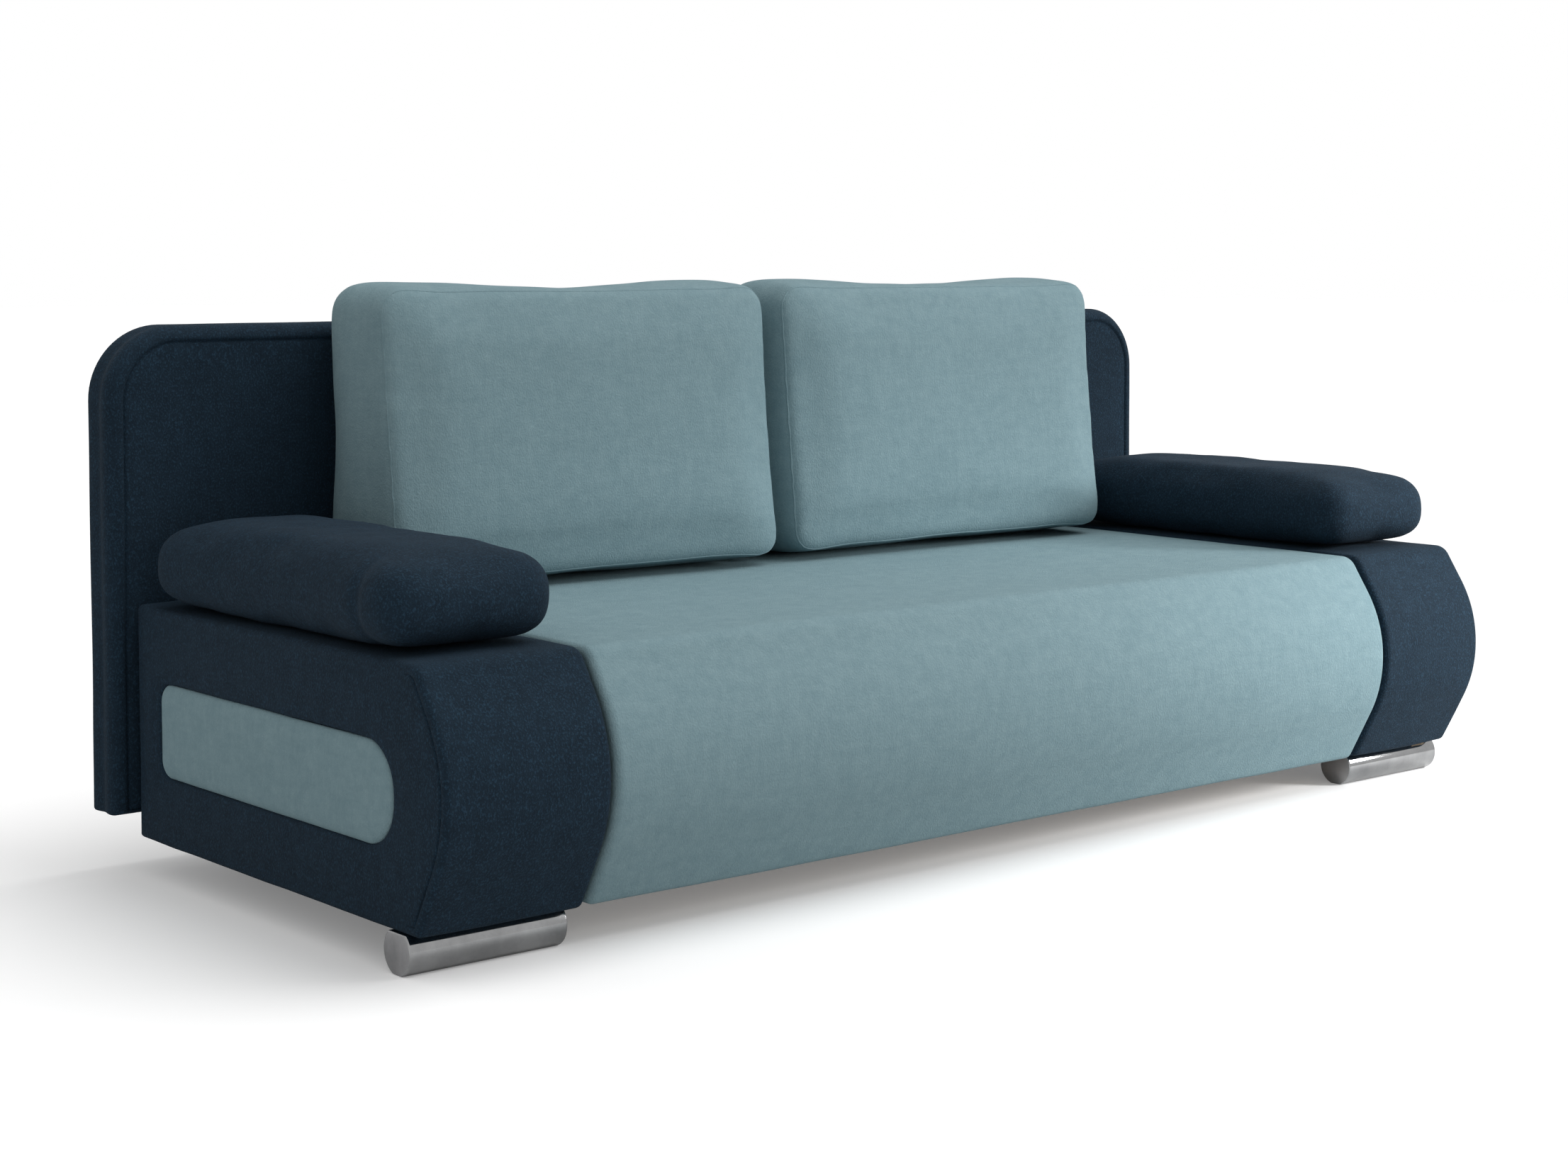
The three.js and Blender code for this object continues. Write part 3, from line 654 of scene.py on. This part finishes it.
class SOFA_OT_seat(bpy.types.Operator):
    """Makes the seat: one cover over the pad, round the front and under the apron"""

    bl_idname = "sofa.seat"
    bl_label = "Seat"

    def execute(self, context):
        size = sizes()
        half = SEAT_HIGH.x
        edge = quarter(size.seat_edge, 6)
        rings = [at_x(seat_outline(size.seat_edge + 0.0005), -half)]
        rings += [at_x(seat_outline(inset), -half + depth) for inset, depth in edge]
        straight = half - size.seat_edge
        rings += [at_x(seat_outline(0.0), x) for x in np.linspace(-straight, straight, 60)[1:-1]]
        rings += [at_x(seat_outline(inset), half - depth) for inset, depth in reversed(edge)]
        rings.append(at_x(seat_outline(size.seat_edge + 0.0005), half))
        seat = loft("seat_upholstery", rings, "teal_fabric")
        soften(seat, size.ripple * 1.6, 0.26, 21)
        stands_for(seat, "seat", "teal_fabric", "seat_pad", "front_apron")
        return {"FINISHED"}


# ---- backrest ----


def back_rings():
    """The backrest cover's rings: front face, seam, side, rear lip and inner wall."""
    size = sizes()
    front, rear = BACK_LOW.y, BACK_HIGH.y
    seam = size.back_seam_set
    rings = []
    for inset, depth in ((0.325, 0.0), (0.2, 0.0), (0.1, 0.0), (0.06, 0.0002), (0.04, 0.0008)):
        rings.append(at_y(back_outline(inset), front + depth))
    groove = [
        (0.008, 0.0010), (0.004, 0.0013), (0.0018, 0.0020),
        (0.0005, 0.0036), (-0.0005, 0.0036), (-0.0018, 0.0018)]
    for step, depth in groove:
        rings.append(at_y(back_outline(seam + step), front + depth))
    rings += [at_y(back_outline(inset), front + depth) for inset, depth in quarter(size.back_edge, 9)]
    rear_edge = 0.007
    straight = rear - rear_edge - front - size.back_edge
    for share, waist in ((0.15, 0.0008), (0.3, 0.0028), (0.45, 0.0040), (0.6, 0.0030), (0.8, 0.0010)):
        rings.append(at_y(back_outline(waist), front + size.back_edge + share * straight))
    rings += [at_y(back_outline(inset), rear - depth) for inset, depth in reversed(quarter(rear_edge, 5))]
    wall = size.cover_wall
    inside = ((wall - 0.002, rear), (wall, rear - 0.002), (wall, front + 0.030), (wall, front + wall))
    foot_drop, foot_fade = 0.026, 0.12
    for ring in rings:
        rise = ring[:, 2].min() - BACK_LOW.z
        fade = np.clip(1.0 - (ring[:, 2] - BACK_LOW.z - rise) / foot_fade, 0.0, 1.0)
        ring[:, 2] -= min(rise, foot_drop) * 0.7 * fade
    return rings + [at_y(back_outline(inset), depth) for inset, depth in inside]


def cut_link_slots(cover):
    """Cuts the slots that the swing links pass through."""
    size = sizes()
    low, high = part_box("swing_link_right")
    middle = (low.x + high.x) / 2
    half = size.slot_width / 2
    past = 0.01
    through = (BACK_LOW.y - past, BACK_HIGH.y + past)
    rise = (BACK_LOW.z - past, BACK_LOW.z + size.slot_rise)
    cutter = bmesh.new()
    for side in (-1, 1):
        corners = [
            cutter.verts.new((side * middle + i * half, y, z))
            for i in (-1, 1) for y in through for z in rise]
        bmesh.ops.convex_hull(cutter, input=corners)
    mesh = bpy.data.meshes.new("slot_cutter")
    bmesh.ops.recalc_face_normals(cutter, faces=cutter.faces)
    cutter.to_mesh(mesh)
    cutter.free()
    tool = linked("slot_cutter", mesh)
    modifier = cover.modifiers.new("slots", "BOOLEAN")
    modifier.operation = "DIFFERENCE"
    modifier.solver = "EXACT"
    modifier.object = tool
    name = cover.name
    cover.name = "uncut_cover"
    piece = as_mesh(cover, name)
    bpy.data.objects.remove(tool)
    return piece


class SOFA_OT_backrest(bpy.types.Operator):
    """Makes the backrest's padded cover with its seam and the slots for the swing links"""

    bl_idname = "sofa.backrest"
    bl_label = "Backrest"

    def execute(self, context):
        cover = loft("back_upholstery", back_rings(), "navy_fabric")
        soften(cover, sizes().ripple, 0.22, 31)
        cover = cut_link_slots(cover)
        stands_for(cover, "backrest", "navy_fabric", "back_cover")
        return {"FINISHED"}


# ---- loose cushions and pillows ----


def refined(piece, kind, **settings):
    """The piece with one mesh modifier applied."""
    modifier = piece.modifiers.new(kind.lower(), kind)
    for name, value in settings.items():
        setattr(modifier, name, value)
    name = piece.name
    piece.name = name + "_before"
    return as_mesh(piece, name)


def positions(mesh):
    """A mesh's points as rows."""
    points = np.empty(len(mesh.vertices) * 3)
    mesh.vertices.foreach_get("co", points)
    return points.reshape(-1, 3)


def place_points(mesh, points):
    """Moves a mesh's points to new places."""
    mesh.vertices.foreach_set("co", points.ravel())
    mesh.update()


def evened(mesh, moves, rounds):
    """Positions or moves averaged with their neighbours', as firm padding evens out creases."""
    edges = np.empty(len(mesh.edges) * 2, np.int64)
    mesh.edges.foreach_get("vertices", edges)
    first, second = edges[0::2], edges[1::2]
    share = np.bincount(edges, minlength=len(moves))[:, None].astype(float)
    for _ in range(rounds):
        total = np.zeros_like(moves)
        for axis in range(3):
            total[:, axis] += np.bincount(first, moves[second, axis], len(moves))
            total[:, axis] += np.bincount(second, moves[first, axis], len(moves))
        moves = 0.5 * moves + 0.5 * total / share
    return moves


def filled(piece, pressure, rounds, frames=20):
    """The cushion's cloth blown up by cloth simulation, no point further than the swell."""
    piece = refined(piece, "REMESH", mode="VOXEL", voxel_size=sizes().voxel)
    place_points(piece.data, evened(piece.data, positions(piece.data), 10))
    rest = positions(piece.data)
    cloth = piece.modifiers.new("cloth", "CLOTH")
    cloth.settings.quality = 5
    cloth.settings.use_pressure = True
    cloth.settings.uniform_pressure_force = pressure
    cloth.settings.tension_stiffness = 15.0
    cloth.settings.compression_stiffness = 15.0
    cloth.settings.bending_stiffness = 6.0
    cloth.settings.effector_weights.gravity = 0.0
    cloth.point_cache.frame_end = frames
    scene = bpy.context.scene
    for frame_number in range(1, frames + 1):
        scene.frame_set(frame_number)
    depsgraph = bpy.context.evaluated_depsgraph_get()
    blown = piece.evaluated_get(depsgraph).to_mesh()
    moves = positions(blown) - rest
    reach = np.linalg.norm(moves, axis=1, keepdims=True)
    moves *= np.minimum(1.0, sizes().swell / np.maximum(reach, 1e-9))
    piece.modifiers.remove(cloth)
    scene.frame_set(1)
    place_points(piece.data, rest + evened(piece.data, moves, rounds))
    return piece


def pressed(distance, soft):
    """A distance above a plane, kept above it and flattened softly."""
    return 0.5 * (distance + np.sqrt(distance * distance + soft * soft))


def fitted(points, low, high):
    """The points stretched to fill a box."""
    small, large = points.min(0), points.max(0)
    return (points - small) / (large - small) * (np.array(high) - np.array(low)) + np.array(low)


def cushion_outline(low, high, inset):
    """A back cushion's front view (x, z)."""
    corners = view_corners(low, high, "x")
    return rounded(corners, [0.040, 0.040, 0.048, 0.048], [8] * 4, [60, 36, 60, 36], inset)


def cushion_body(label):
    """A back cushion before its cloth is filled: a boxed wedge a little too small."""
    size = sizes()
    low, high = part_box(f"back_cushion_{label}")
    shrink, front_edge, rear_edge = 0.006, 0.010, 0.060
    front_face = [(0.205, 0.0), (0.15, 0.0), (0.09, 0.0), (0.04, 0.0)] + quarter(front_edge, 4)
    rear_face = quarter(rear_edge, 7)
    rings = []

    def ring(inset, depth_front, depth_rear, share):
        outline = cushion_outline(low, high, shrink + inset)
        lean = size.cushion_lean * (outline[:, 1] - low.z) / (high.z - low.z)
        front = low.y + shrink + lean + depth_front
        rear = high.y - shrink - depth_rear
        rings.append(np.column_stack((outline[:, 0], front * (1 - share) + rear * share, outline[:, 1])))

    for inset, depth in front_face:
        ring(inset, depth, 0.0, 0.0)
    for share in np.linspace(0.0, 1.0, 12)[1:-1]:
        ring(0.0, front_edge, rear_edge, share)
    for inset, depth in list(reversed(rear_face)) + [(0.10, 0.0), (0.205, 0.0)]:
        ring(inset, 0.0, depth, 1.0)
    return loft(f"cushion_{label}", rings, "teal_fabric")


def shape_cushion(piece, label, seed):
    """Rests the cushion on the seat and the backrest and gives its cloth its ease."""
    low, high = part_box(f"back_cushion_{label}")
    spread = Vector((0.0, 0.006, 0.003))
    flattening = 0.006
    points = fitted(positions(piece.data), low - spread, high + spread)
    points[:, 2] = low.z + pressed(points[:, 2] - low.z, flattening)
    points[:, 1] = high.y - pressed(high.y - points[:, 1], flattening)
    place_points(piece.data, points)
    soften(piece, 0.0012, 0.14, seed)


def seam_path(piece, outline, inwards):
    """Points on the piece's surface nearest to a nominal seam line."""
    tree = BVHTree.FromPolygons(
        [v.co.copy() for v in piece.data.vertices], [tuple(p.vertices) for p in piece.data.polygons])
    path = []
    for point in outline:
        spot, normal, _, _ = tree.find_nearest(Vector(point))
        path.append(spot - normal * inwards)
    return path


def paint(tree, given, out, geometry):
    """Ends a tree: the geometry made real and given its finish."""
    real = node(tree, "GeometryNodeRealizeInstances", {"Geometry": geometry})
    painted = node(tree, "GeometryNodeSetMaterial", {
        "Geometry": real.outputs["Geometry"], "Material": given.outputs["Finish"]})
    feed(tree, out.inputs["Geometry"], painted.outputs["Geometry"])


def welt_tree():
    """Geometry nodes that lay a thin ridge along a curve."""
    if "seam_ridge" in bpy.data.node_groups:
        return bpy.data.node_groups["seam_ridge"]
    tree, given, out = new_group(
        "seam_ridge",
        [("Geometry", "NodeSocketGeometry", None), ("Radius", "NodeSocketFloat", 0.0017),
         ("Step", "NodeSocketFloat", 0.006), ("Finish", "NodeSocketMaterial", None)],
        [("Geometry", "NodeSocketGeometry")], "GeometryNodeTree")
    even = node(tree, "GeometryNodeResampleCurve", {
        "Curve": given.outputs["Geometry"], "Length": given.outputs["Step"]}, mode="LENGTH")
    section = node(tree, "GeometryNodeCurvePrimitiveCircle", {
        "Resolution": 8, "Radius": given.outputs["Radius"]})
    ridge = node(tree, "GeometryNodeCurveToMesh", {
        "Curve": even.outputs["Curve"], "Profile Curve": section.outputs["Curve"]})
    smooth = node(tree, "GeometryNodeSetShadeSmooth", {"Geometry": ridge.outputs["Mesh"]})
    paint(tree, given, out, smooth.outputs["Geometry"])
    return tree


def run_nodes(holder, tree, values, name):
    """Runs geometry nodes on a holder object and keeps the result as a plain mesh."""
    modifier = holder.modifiers.new("nodes", "NODES")
    modifier.node_group = tree
    for item in tree.interface.items_tree:
        if item.in_out == "INPUT" and item.name in values:
            modifier[item.identifier] = values[item.name]
    return as_mesh(holder, name)


def polyline(name, points):
    """A closed curve object through points."""
    curve = bpy.data.curves.new(name, "CURVE")
    curve.dimensions = "3D"
    spline = curve.splines.new("POLY")
    spline.points.add(len(points) - 1)
    for target, point in zip(spline.points, points):
        target.co = (*point, 1.0)
    spline.use_cyclic_u = True
    return linked(name, curve)


def add_welt(piece, name, outline, body, slot):
    """A seam's ridge laid on the piece along a nominal line."""
    size = sizes()
    holder = polyline("seam_line", seam_path(piece, outline, size.welt * 0.35))
    values = {"Radius": size.welt, "Step": 0.005, "Finish": finish(slot)}
    stands_for(run_nodes(holder, welt_tree(), values, name), body, slot)


def cushion_seam(label):
    """The nominal line of a back cushion's front seam."""
    low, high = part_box(f"back_cushion_{label}")
    set_in = 0.004
    outline = cushion_outline(low, high, set_in)
    rise = (outline[:, 1] - low.z) / (high.z - low.z)
    depth = low.y + set_in + sizes().cushion_lean * rise
    return np.column_stack((outline[:, 0], depth, outline[:, 1]))


class SOFA_OT_back_cushions(bpy.types.Operator):
    """Makes the two loose back cushions by cloth simulation and lays their seams on"""

    bl_idname = "sofa.back_cushions"
    bl_label = "Back cushions"

    def execute(self, context):
        for seed, (label, _) in enumerate(SIDES):
            piece = filled(cushion_body(label), 4.0, 70)
            piece = refined(piece, "SUBSURF", levels=1, render_levels=1)
            shape_cushion(piece, label, seed + 41)
            body = f"back_cushion_{label}"
            stands_for(piece, body, "teal_fabric", body)
            add_welt(piece, f"cushion_seam_{label}", cushion_seam(label), body, "teal_fabric")
        return {"FINISHED"}


def pillow_outline(low, high, radius, inset):
    """An arm pillow's side view (y, z)."""
    corners = view_corners(low, high, "y")
    radii = [radius * 0.85, radius * 0.85, radius, radius]
    return rounded(corners, radii, [8] * 4, [30, 6, 30, 6], inset)


def pillow_body(label, side):
    """An arm pillow before its cloth is filled."""
    low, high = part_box(f"arm_pillow_{label}")
    shrink, edge, bend = 0.004, 0.044, 0.052
    start, end = sorted((abs(low.x), abs(high.x)))
    curve = [(shrink + inset, shrink + depth) for inset, depth in quarter(edge, 7)]
    rings = [at_x(pillow_outline(low, high, bend, inset), start + depth) for inset, depth in curve]
    middle = np.linspace(start + shrink + edge, end - shrink - edge, 12)[1:-1]
    rings += [at_x(pillow_outline(low, high, bend, shrink), x) for x in middle]
    rings += [at_x(pillow_outline(low, high, bend, inset), end - depth) for inset, depth in reversed(curve)]
    return loft(f"pillow_{label}", mirrored(rings, side), "navy_fabric")


def shape_pillow(piece, label, side, seed):
    """Rests the pillow on its arm and gives it a crease at its front outer corner."""
    low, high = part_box(f"arm_pillow_{label}")
    points = fitted(positions(piece.data), (low.x, low.y, low.z - 0.006), (high.x, high.y, high.z + 0.004))
    points[:, 2] = low.z + pressed(points[:, 2] - low.z, 0.008)
    crease_set, crease_width, crease_depth = 0.085, 0.013, 0.0045
    outer = np.clip((side * points[:, 0] - 0.90) / 0.06, 0.0, 1.0)
    crease = np.exp(-((points[:, 1] - low.y - crease_set) / crease_width) ** 2) * outer
    points[:, 0] -= side * crease_depth * crease
    place_points(piece.data, points)
    soften(piece, 0.0022, 0.11, seed)


class SOFA_OT_arm_pillows(bpy.types.Operator):
    """Makes the two long pillows on the arms by cloth simulation"""

    bl_idname = "sofa.arm_pillows"
    bl_label = "Arm pillows"

    def execute(self, context):
        for seed, (label, side) in enumerate(SIDES):
            piece = filled(pillow_body(label, side), 4.0, 14)
            piece = refined(piece, "SUBSURF", levels=1, render_levels=1)
            shape_pillow(piece, label, side, seed + 51)
            body = f"arm_pillow_{label}"
            stands_for(piece, body, "navy_fabric", body)
        return {"FINISHED"}


# ---- feet ----


def roller_section(low, high, shrink):
    """A front foot's section (y, z): a circle cut flat on top and below."""
    radius = (high.y - low.y) / 2
    half_flat = 0.009
    drop = math.sqrt(radius * radius - half_flat * half_flat)
    angles = np.linspace(0, 2 * math.pi, 96, endpoint=False)
    y = (low.y + high.y) / 2 + (radius - shrink) * np.cos(angles)
    z = low.z + drop + (radius - shrink) * np.sin(angles)
    return np.column_stack((y, np.clip(z, low.z + shrink, high.z - shrink)))


def add_roller(label):
    """A chrome roller with brushed ends."""
    name = f"front_foot_{label}"
    low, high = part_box(name)
    edge = quarter(0.0022, 4)
    rings = [at_x(roller_section(low, high, inset), low.x + depth) for inset, depth in edge]
    rings += [at_x(roller_section(low, high, inset), high.x - depth) for inset, depth in reversed(edge)]
    roller = loft(f"foot_roller_{label}", rings, "chrome")
    roller.data.materials.append(finish("brushed_end"))
    for face in roller.data.polygons:
        if abs(face.normal.x) > 0.98:
            face.material_index = 1
    stands_for(roller, "base", "chrome", name)


def add_glide(label):
    """A moulded glide that widens a little towards its top."""
    name = f"rear_foot_{label}"
    low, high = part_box(name)
    centre = (low + high) / 2
    top = (high.x - low.x) / 2
    steps = [
        (0.0, 0.0055), (0.0012, 0.0040), (0.006, 0.0042), (0.0075, 0.0028),
        (0.040, 0.0004), (0.0495, 0.0), (high.z, 0.0012)]
    angles = np.linspace(0, 2 * math.pi, 64, endpoint=False)
    circle = np.column_stack((np.cos(angles), np.sin(angles)))
    rings = []
    for z, inset in steps:
        round_edge = circle * (top - inset) + (centre.x, centre.y)
        rings.append(np.column_stack((round_edge, np.full(len(circle), z))))
    glide = loft(f"foot_glide_{label}", rings, "black_plastic")
    stands_for(glide, "base", "black_plastic", name)


class SOFA_OT_feet(bpy.types.Operator):
    """Makes the chrome rollers under the arms' fronts and the glides at the rear"""

    bl_idname = "sofa.feet"
    bl_label = "Feet"

    def execute(self, context):
        for label, _ in SIDES:
            add_roller(label)
            add_glide(label)
        return {"FINISHED"}


# ---- frame, hinges and fastenings ----


def fastener_tree(name, size_inputs, make_shape):
    """Geometry nodes that put one small shape on every point, turned by an attribute."""
    if name in bpy.data.node_groups:
        return bpy.data.node_groups[name]
    inputs = [("Geometry", "NodeSocketGeometry", None), ("Finish", "NodeSocketMaterial", None)]
    inputs += [(label, "NodeSocketFloat", value) for label, value in size_inputs]
    tree, given, out = new_group(name, inputs, [("Geometry", "NodeSocketGeometry")], "GeometryNodeTree")
    turn = node(tree, "GeometryNodeInputNamedAttribute", {"Name": "turn"}, data_type="FLOAT_VECTOR")
    euler = node(tree, "FunctionNodeEulerToRotation", {"Euler": turn.outputs["Attribute"]})
    placed = node(tree, "GeometryNodeInstanceOnPoints", {
        "Points": given.outputs["Geometry"], "Instance": make_shape(tree, given),
        "Rotation": euler.outputs["Rotation"]})
    paint(tree, given, out, placed.outputs["Instances"])
    return tree


def staple_shape(tree, given):
    """A staple's crown: a thin flat bar."""
    length, wire = given.outputs["Length"], given.outputs["Wire"]
    size = node(tree, "ShaderNodeCombineXYZ", {"X": length, "Y": wire, "Z": wire})
    return node(tree, "GeometryNodeMeshCube", {"Size": size.outputs["Vector"]}).outputs["Mesh"]


def screw_shape(tree, given):
    """A screw's low domed head."""
    wide = given.outputs["Head"]
    narrow = times(tree, wide, 0.62)
    head = node(tree, "GeometryNodeMeshCone", {
        "Vertices": 20, "Radius Bottom": wide, "Radius Top": narrow, "Depth": given.outputs["Rise"]})
    return head.outputs["Mesh"]


def point_holder(points, turns):
    """A mesh of bare points that carry the way each fastener is turned."""
    mesh = bpy.data.meshes.new("fastener_points")
    mesh.from_pydata([tuple(point) for point in points], [], [])
    attribute = mesh.attributes.new("turn", "FLOAT_VECTOR", "POINT")
    attribute.data.foreach_set("vector", np.array(turns, float).ravel())
    return linked("fastener_points", mesh)


def add_staples():
    """Staples round the edge of the backrest's rear lining, each a little askew."""
    pitch = sizes().staple_pitch
    corners = view_corners(PANEL_LOW, PANEL_HIGH, "x")
    radii = [0.006, 0.006, 0.093, 0.093]
    outline = rounded(corners, radii, [2, 2, 24, 24], [400, 120, 400, 120], 0.014)
    ahead = np.roll(outline, -1, axis=0) - outline
    travelled = np.concatenate(([0.0], np.cumsum(np.hypot(*ahead.T))))
    points, turns = [], []
    for distance in np.arange(pitch / 2, travelled[-1], pitch):
        i = int(np.searchsorted(travelled, distance) - 1) % len(outline)
        askew = 0.12 * math.sin(7.0 * distance / pitch)
        points.append((outline[i, 0], PANEL_HIGH.y + 0.0003, outline[i, 1]))
        turns.append((0.0, askew - math.atan2(ahead[i, 1], ahead[i, 0]), 0.0))
    tree = fastener_tree("staples", [("Length", 0.011), ("Wire", 0.0012)], staple_shape)
    holder = point_holder(points, turns)
    staples = run_nodes(holder, tree, {"Finish": finish("staple_wire")}, "lining_staples")
    stands_for(staples, "backrest", "steel")


def add_screws():
    """Screw heads on the hinge plates, brackets and seat leaves, one piece for each body.

    Each row gives the body, the plate's node, its near or far face, how far the heads lie from
    that face, which way they look, and their places as shares of the plate's length and height.
    """
    corners = ((0.14, 0.14), (0.86, 0.14), (0.14, 0.86), (0.86, 0.86))
    leaf = ((0.12, 0.5), (0.35, 0.25), (0.35, 0.75), (0.62, 0.5))
    bracket = ((0.25, 0.60), (0.25, 0.86), (0.62, 0.86))
    rows = (
        ("base", "mechanism_plate", min, 0.0102, -1, corners),
        ("seat", "seat_hinge_leaf", max, 0.0, 1, leaf),
        ("backrest", "back_bracket", min, 0.005, 1, bracket))
    tree = fastener_tree("screw_heads", [("Head", 0.0042), ("Rise", 0.0016)], screw_shape)
    for body, node_name, face, stand_off, way, places in rows:
        points, turns = [], []
        for label, side in SIDES:
            low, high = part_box(f"{node_name}_{label}")
            x = side * (face(abs(low.x), abs(high.x)) + stand_off)
            for along, up in places:
                points.append((x, low.y + along * (high.y - low.y), low.z + up * (high.z - low.z)))
                turns.append((0.0, way * side * math.pi / 2, 0.0))
        holder = point_holder(points, turns)
        piece = run_nodes(holder, tree, {"Finish": finish("steel")}, f"{node_name}_screws")
        stands_for(piece, body, "steel")


class SOFA_OT_frame_finishes(bpy.types.Operator):
    """Gives the timber frame, the hinges, the bed legs and the linings their finishes"""

    bl_idname = "sofa.frame_finishes"
    bl_label = "Frame finishes"

    def execute(self, context):
        slots = {part["node"]: part["material_slot"] for part in frame["record"]["subparts"]}
        for name, made in frame["nodes"].items():
            made.data.materials.clear()
            made.data.materials.append(finish(slots[name]))
        return {"FINISHED"}


class SOFA_OT_fastenings(bpy.types.Operator):
    """Adds the staples of the rear lining and the screws of the hinges"""

    bl_idname = "sofa.fastenings"
    bl_label = "Staples and screws"

    def execute(self, context):
        add_staples()
        add_screws()
        return {"FINISHED"}


# ---- stage ----


def add_camera():
    """The camera, in front of the sofa's left end at the height of a low chair back."""
    data = bpy.data.cameras.new("camera")
    data.sensor_width = 36.0
    data.lens = 60.118
    data.shift_y = -0.12
    data.clip_end = 60.0
    tilt, heading = 3.086, 40.063
    camera = linked("camera", data)
    camera.location = (-2.6259, -2.9685, 0.8529)
    camera.rotation_euler = (math.radians(90.0 - tilt), 0.0, math.radians(-heading))
    bpy.context.scene.camera = camera


def turned_to(direction):
    """The turn that makes a lamp shine in a direction."""
    return Vector(direction).to_track_quat("-Z", "Y").to_euler()


def add_key_light():
    """One broad, soft key from the right of the front, about as high as a window."""
    data = bpy.data.lights.new("key_light", "SUN")
    data.energy = 1.5
    data.angle = math.radians(50.0)
    lamp = linked("key_light", data)
    lamp.rotation_euler = turned_to((-0.46, 0.24, -0.85))


def add_window_light():
    """A small soft lamp at the right that brightens the right end of the front."""
    data = bpy.data.lights.new("window_light", "AREA")
    data.spread = math.radians(46.0)
    data.shape = "RECTANGLE"
    data.size = 0.8
    data.size_y = 0.8
    data.energy = 7.5
    place, aim = Vector((2.5, -2.3, 1.1)), Vector((1.0, -0.40, 0.15))
    lamp = linked("window_light", data)
    lamp.location = place
    lamp.rotation_euler = turned_to(aim - place)


def add_surroundings():
    """White all round, dimmer as light than as seen, so that the lamps shape the object."""
    world = bpy.data.worlds.new("studio")
    world.use_nodes = True
    tree = world.node_tree
    backdrop = tree.nodes["Background"]
    backdrop.inputs["Color"].default_value = (1.0, 1.0, 1.0, 1.0)
    seen = node(tree, "ShaderNodeLightPath").outputs["Is Camera Ray"]
    feed(tree, backdrop.inputs["Strength"], remap(tree, seen, 0.0, 1.0, 0.60, 1.0))
    bpy.context.scene.world = world


class SOFA_OT_stage(bpy.types.Operator):
    """Sets the pale floor, the soft studio light and the camera"""

    bl_idname = "sofa.stage"
    bl_label = "Stage"

    def execute(self, context):
        reach = 40.0
        corners = [(-reach, -reach, 0), (reach, -reach, 0), (reach, reach, 0), (-reach, reach, 0)]
        mesh = bpy.data.meshes.new("floor")
        mesh.from_pydata(corners, [], [(0, 1, 2, 3)])
        mesh.materials.append(finish("studio_floor"))
        floor = linked("floor", mesh)
        add_camera()
        add_surroundings()
        add_key_light()
        add_window_light()
        context.scene.view_settings.view_transform = "Standard"
        return {"FINISHED"}


# ---- panel and registration ----


OPERATORS = (
    SOFA_OT_frame_finishes, SOFA_OT_arms, SOFA_OT_inset_pads, SOFA_OT_seat, SOFA_OT_backrest,
    SOFA_OT_back_cushions, SOFA_OT_arm_pillows, SOFA_OT_feet, SOFA_OT_fastenings, SOFA_OT_stage)


class SOFA_PT_panel(bpy.types.Panel):
    """Lists the makers of the sofa bed's pieces with their sizes and colours."""

    bl_label = "Futon sofa bed"
    bl_idname = "SOFA_PT_panel"
    bl_space_type = "VIEW_3D"
    bl_region_type = "UI"
    bl_category = "Sofa bed"

    def draw(self, context):
        for maker in OPERATORS:
            self.layout.operator(maker.bl_idname)
        for group in (context.scene.sofa_sizes, context.scene.sofa_colours):
            box = self.layout.box()
            for name in group.__annotations__:
                box.prop(group, name)


CLASSES = (SofaSizes, SofaColours, *OPERATORS, SOFA_PT_panel)


def register():
    for item in CLASSES:
        bpy.utils.register_class(item)
    bpy.types.Scene.sofa_sizes = bpy.props.PointerProperty(type=SofaSizes)
    bpy.types.Scene.sofa_colours = bpy.props.PointerProperty(type=SofaColours)


def unregister():
    del bpy.types.Scene.sofa_colours
    del bpy.types.Scene.sofa_sizes
    for item in reversed(CLASSES):
        bpy.utils.unregister_class(item)


def main():
    """Makes every piece and the stage."""
    register()
    bpy.ops.sofa.frame_finishes()
    bpy.ops.sofa.arms()
    bpy.ops.sofa.inset_pads()
    bpy.ops.sofa.seat()
    bpy.ops.sofa.backrest()
    bpy.ops.sofa.back_cushions()
    bpy.ops.sofa.arm_pillows()
    bpy.ops.sofa.feet()
    bpy.ops.sofa.fastenings()
    bpy.ops.sofa.stage()


if __name__ == "__main__":
    main()
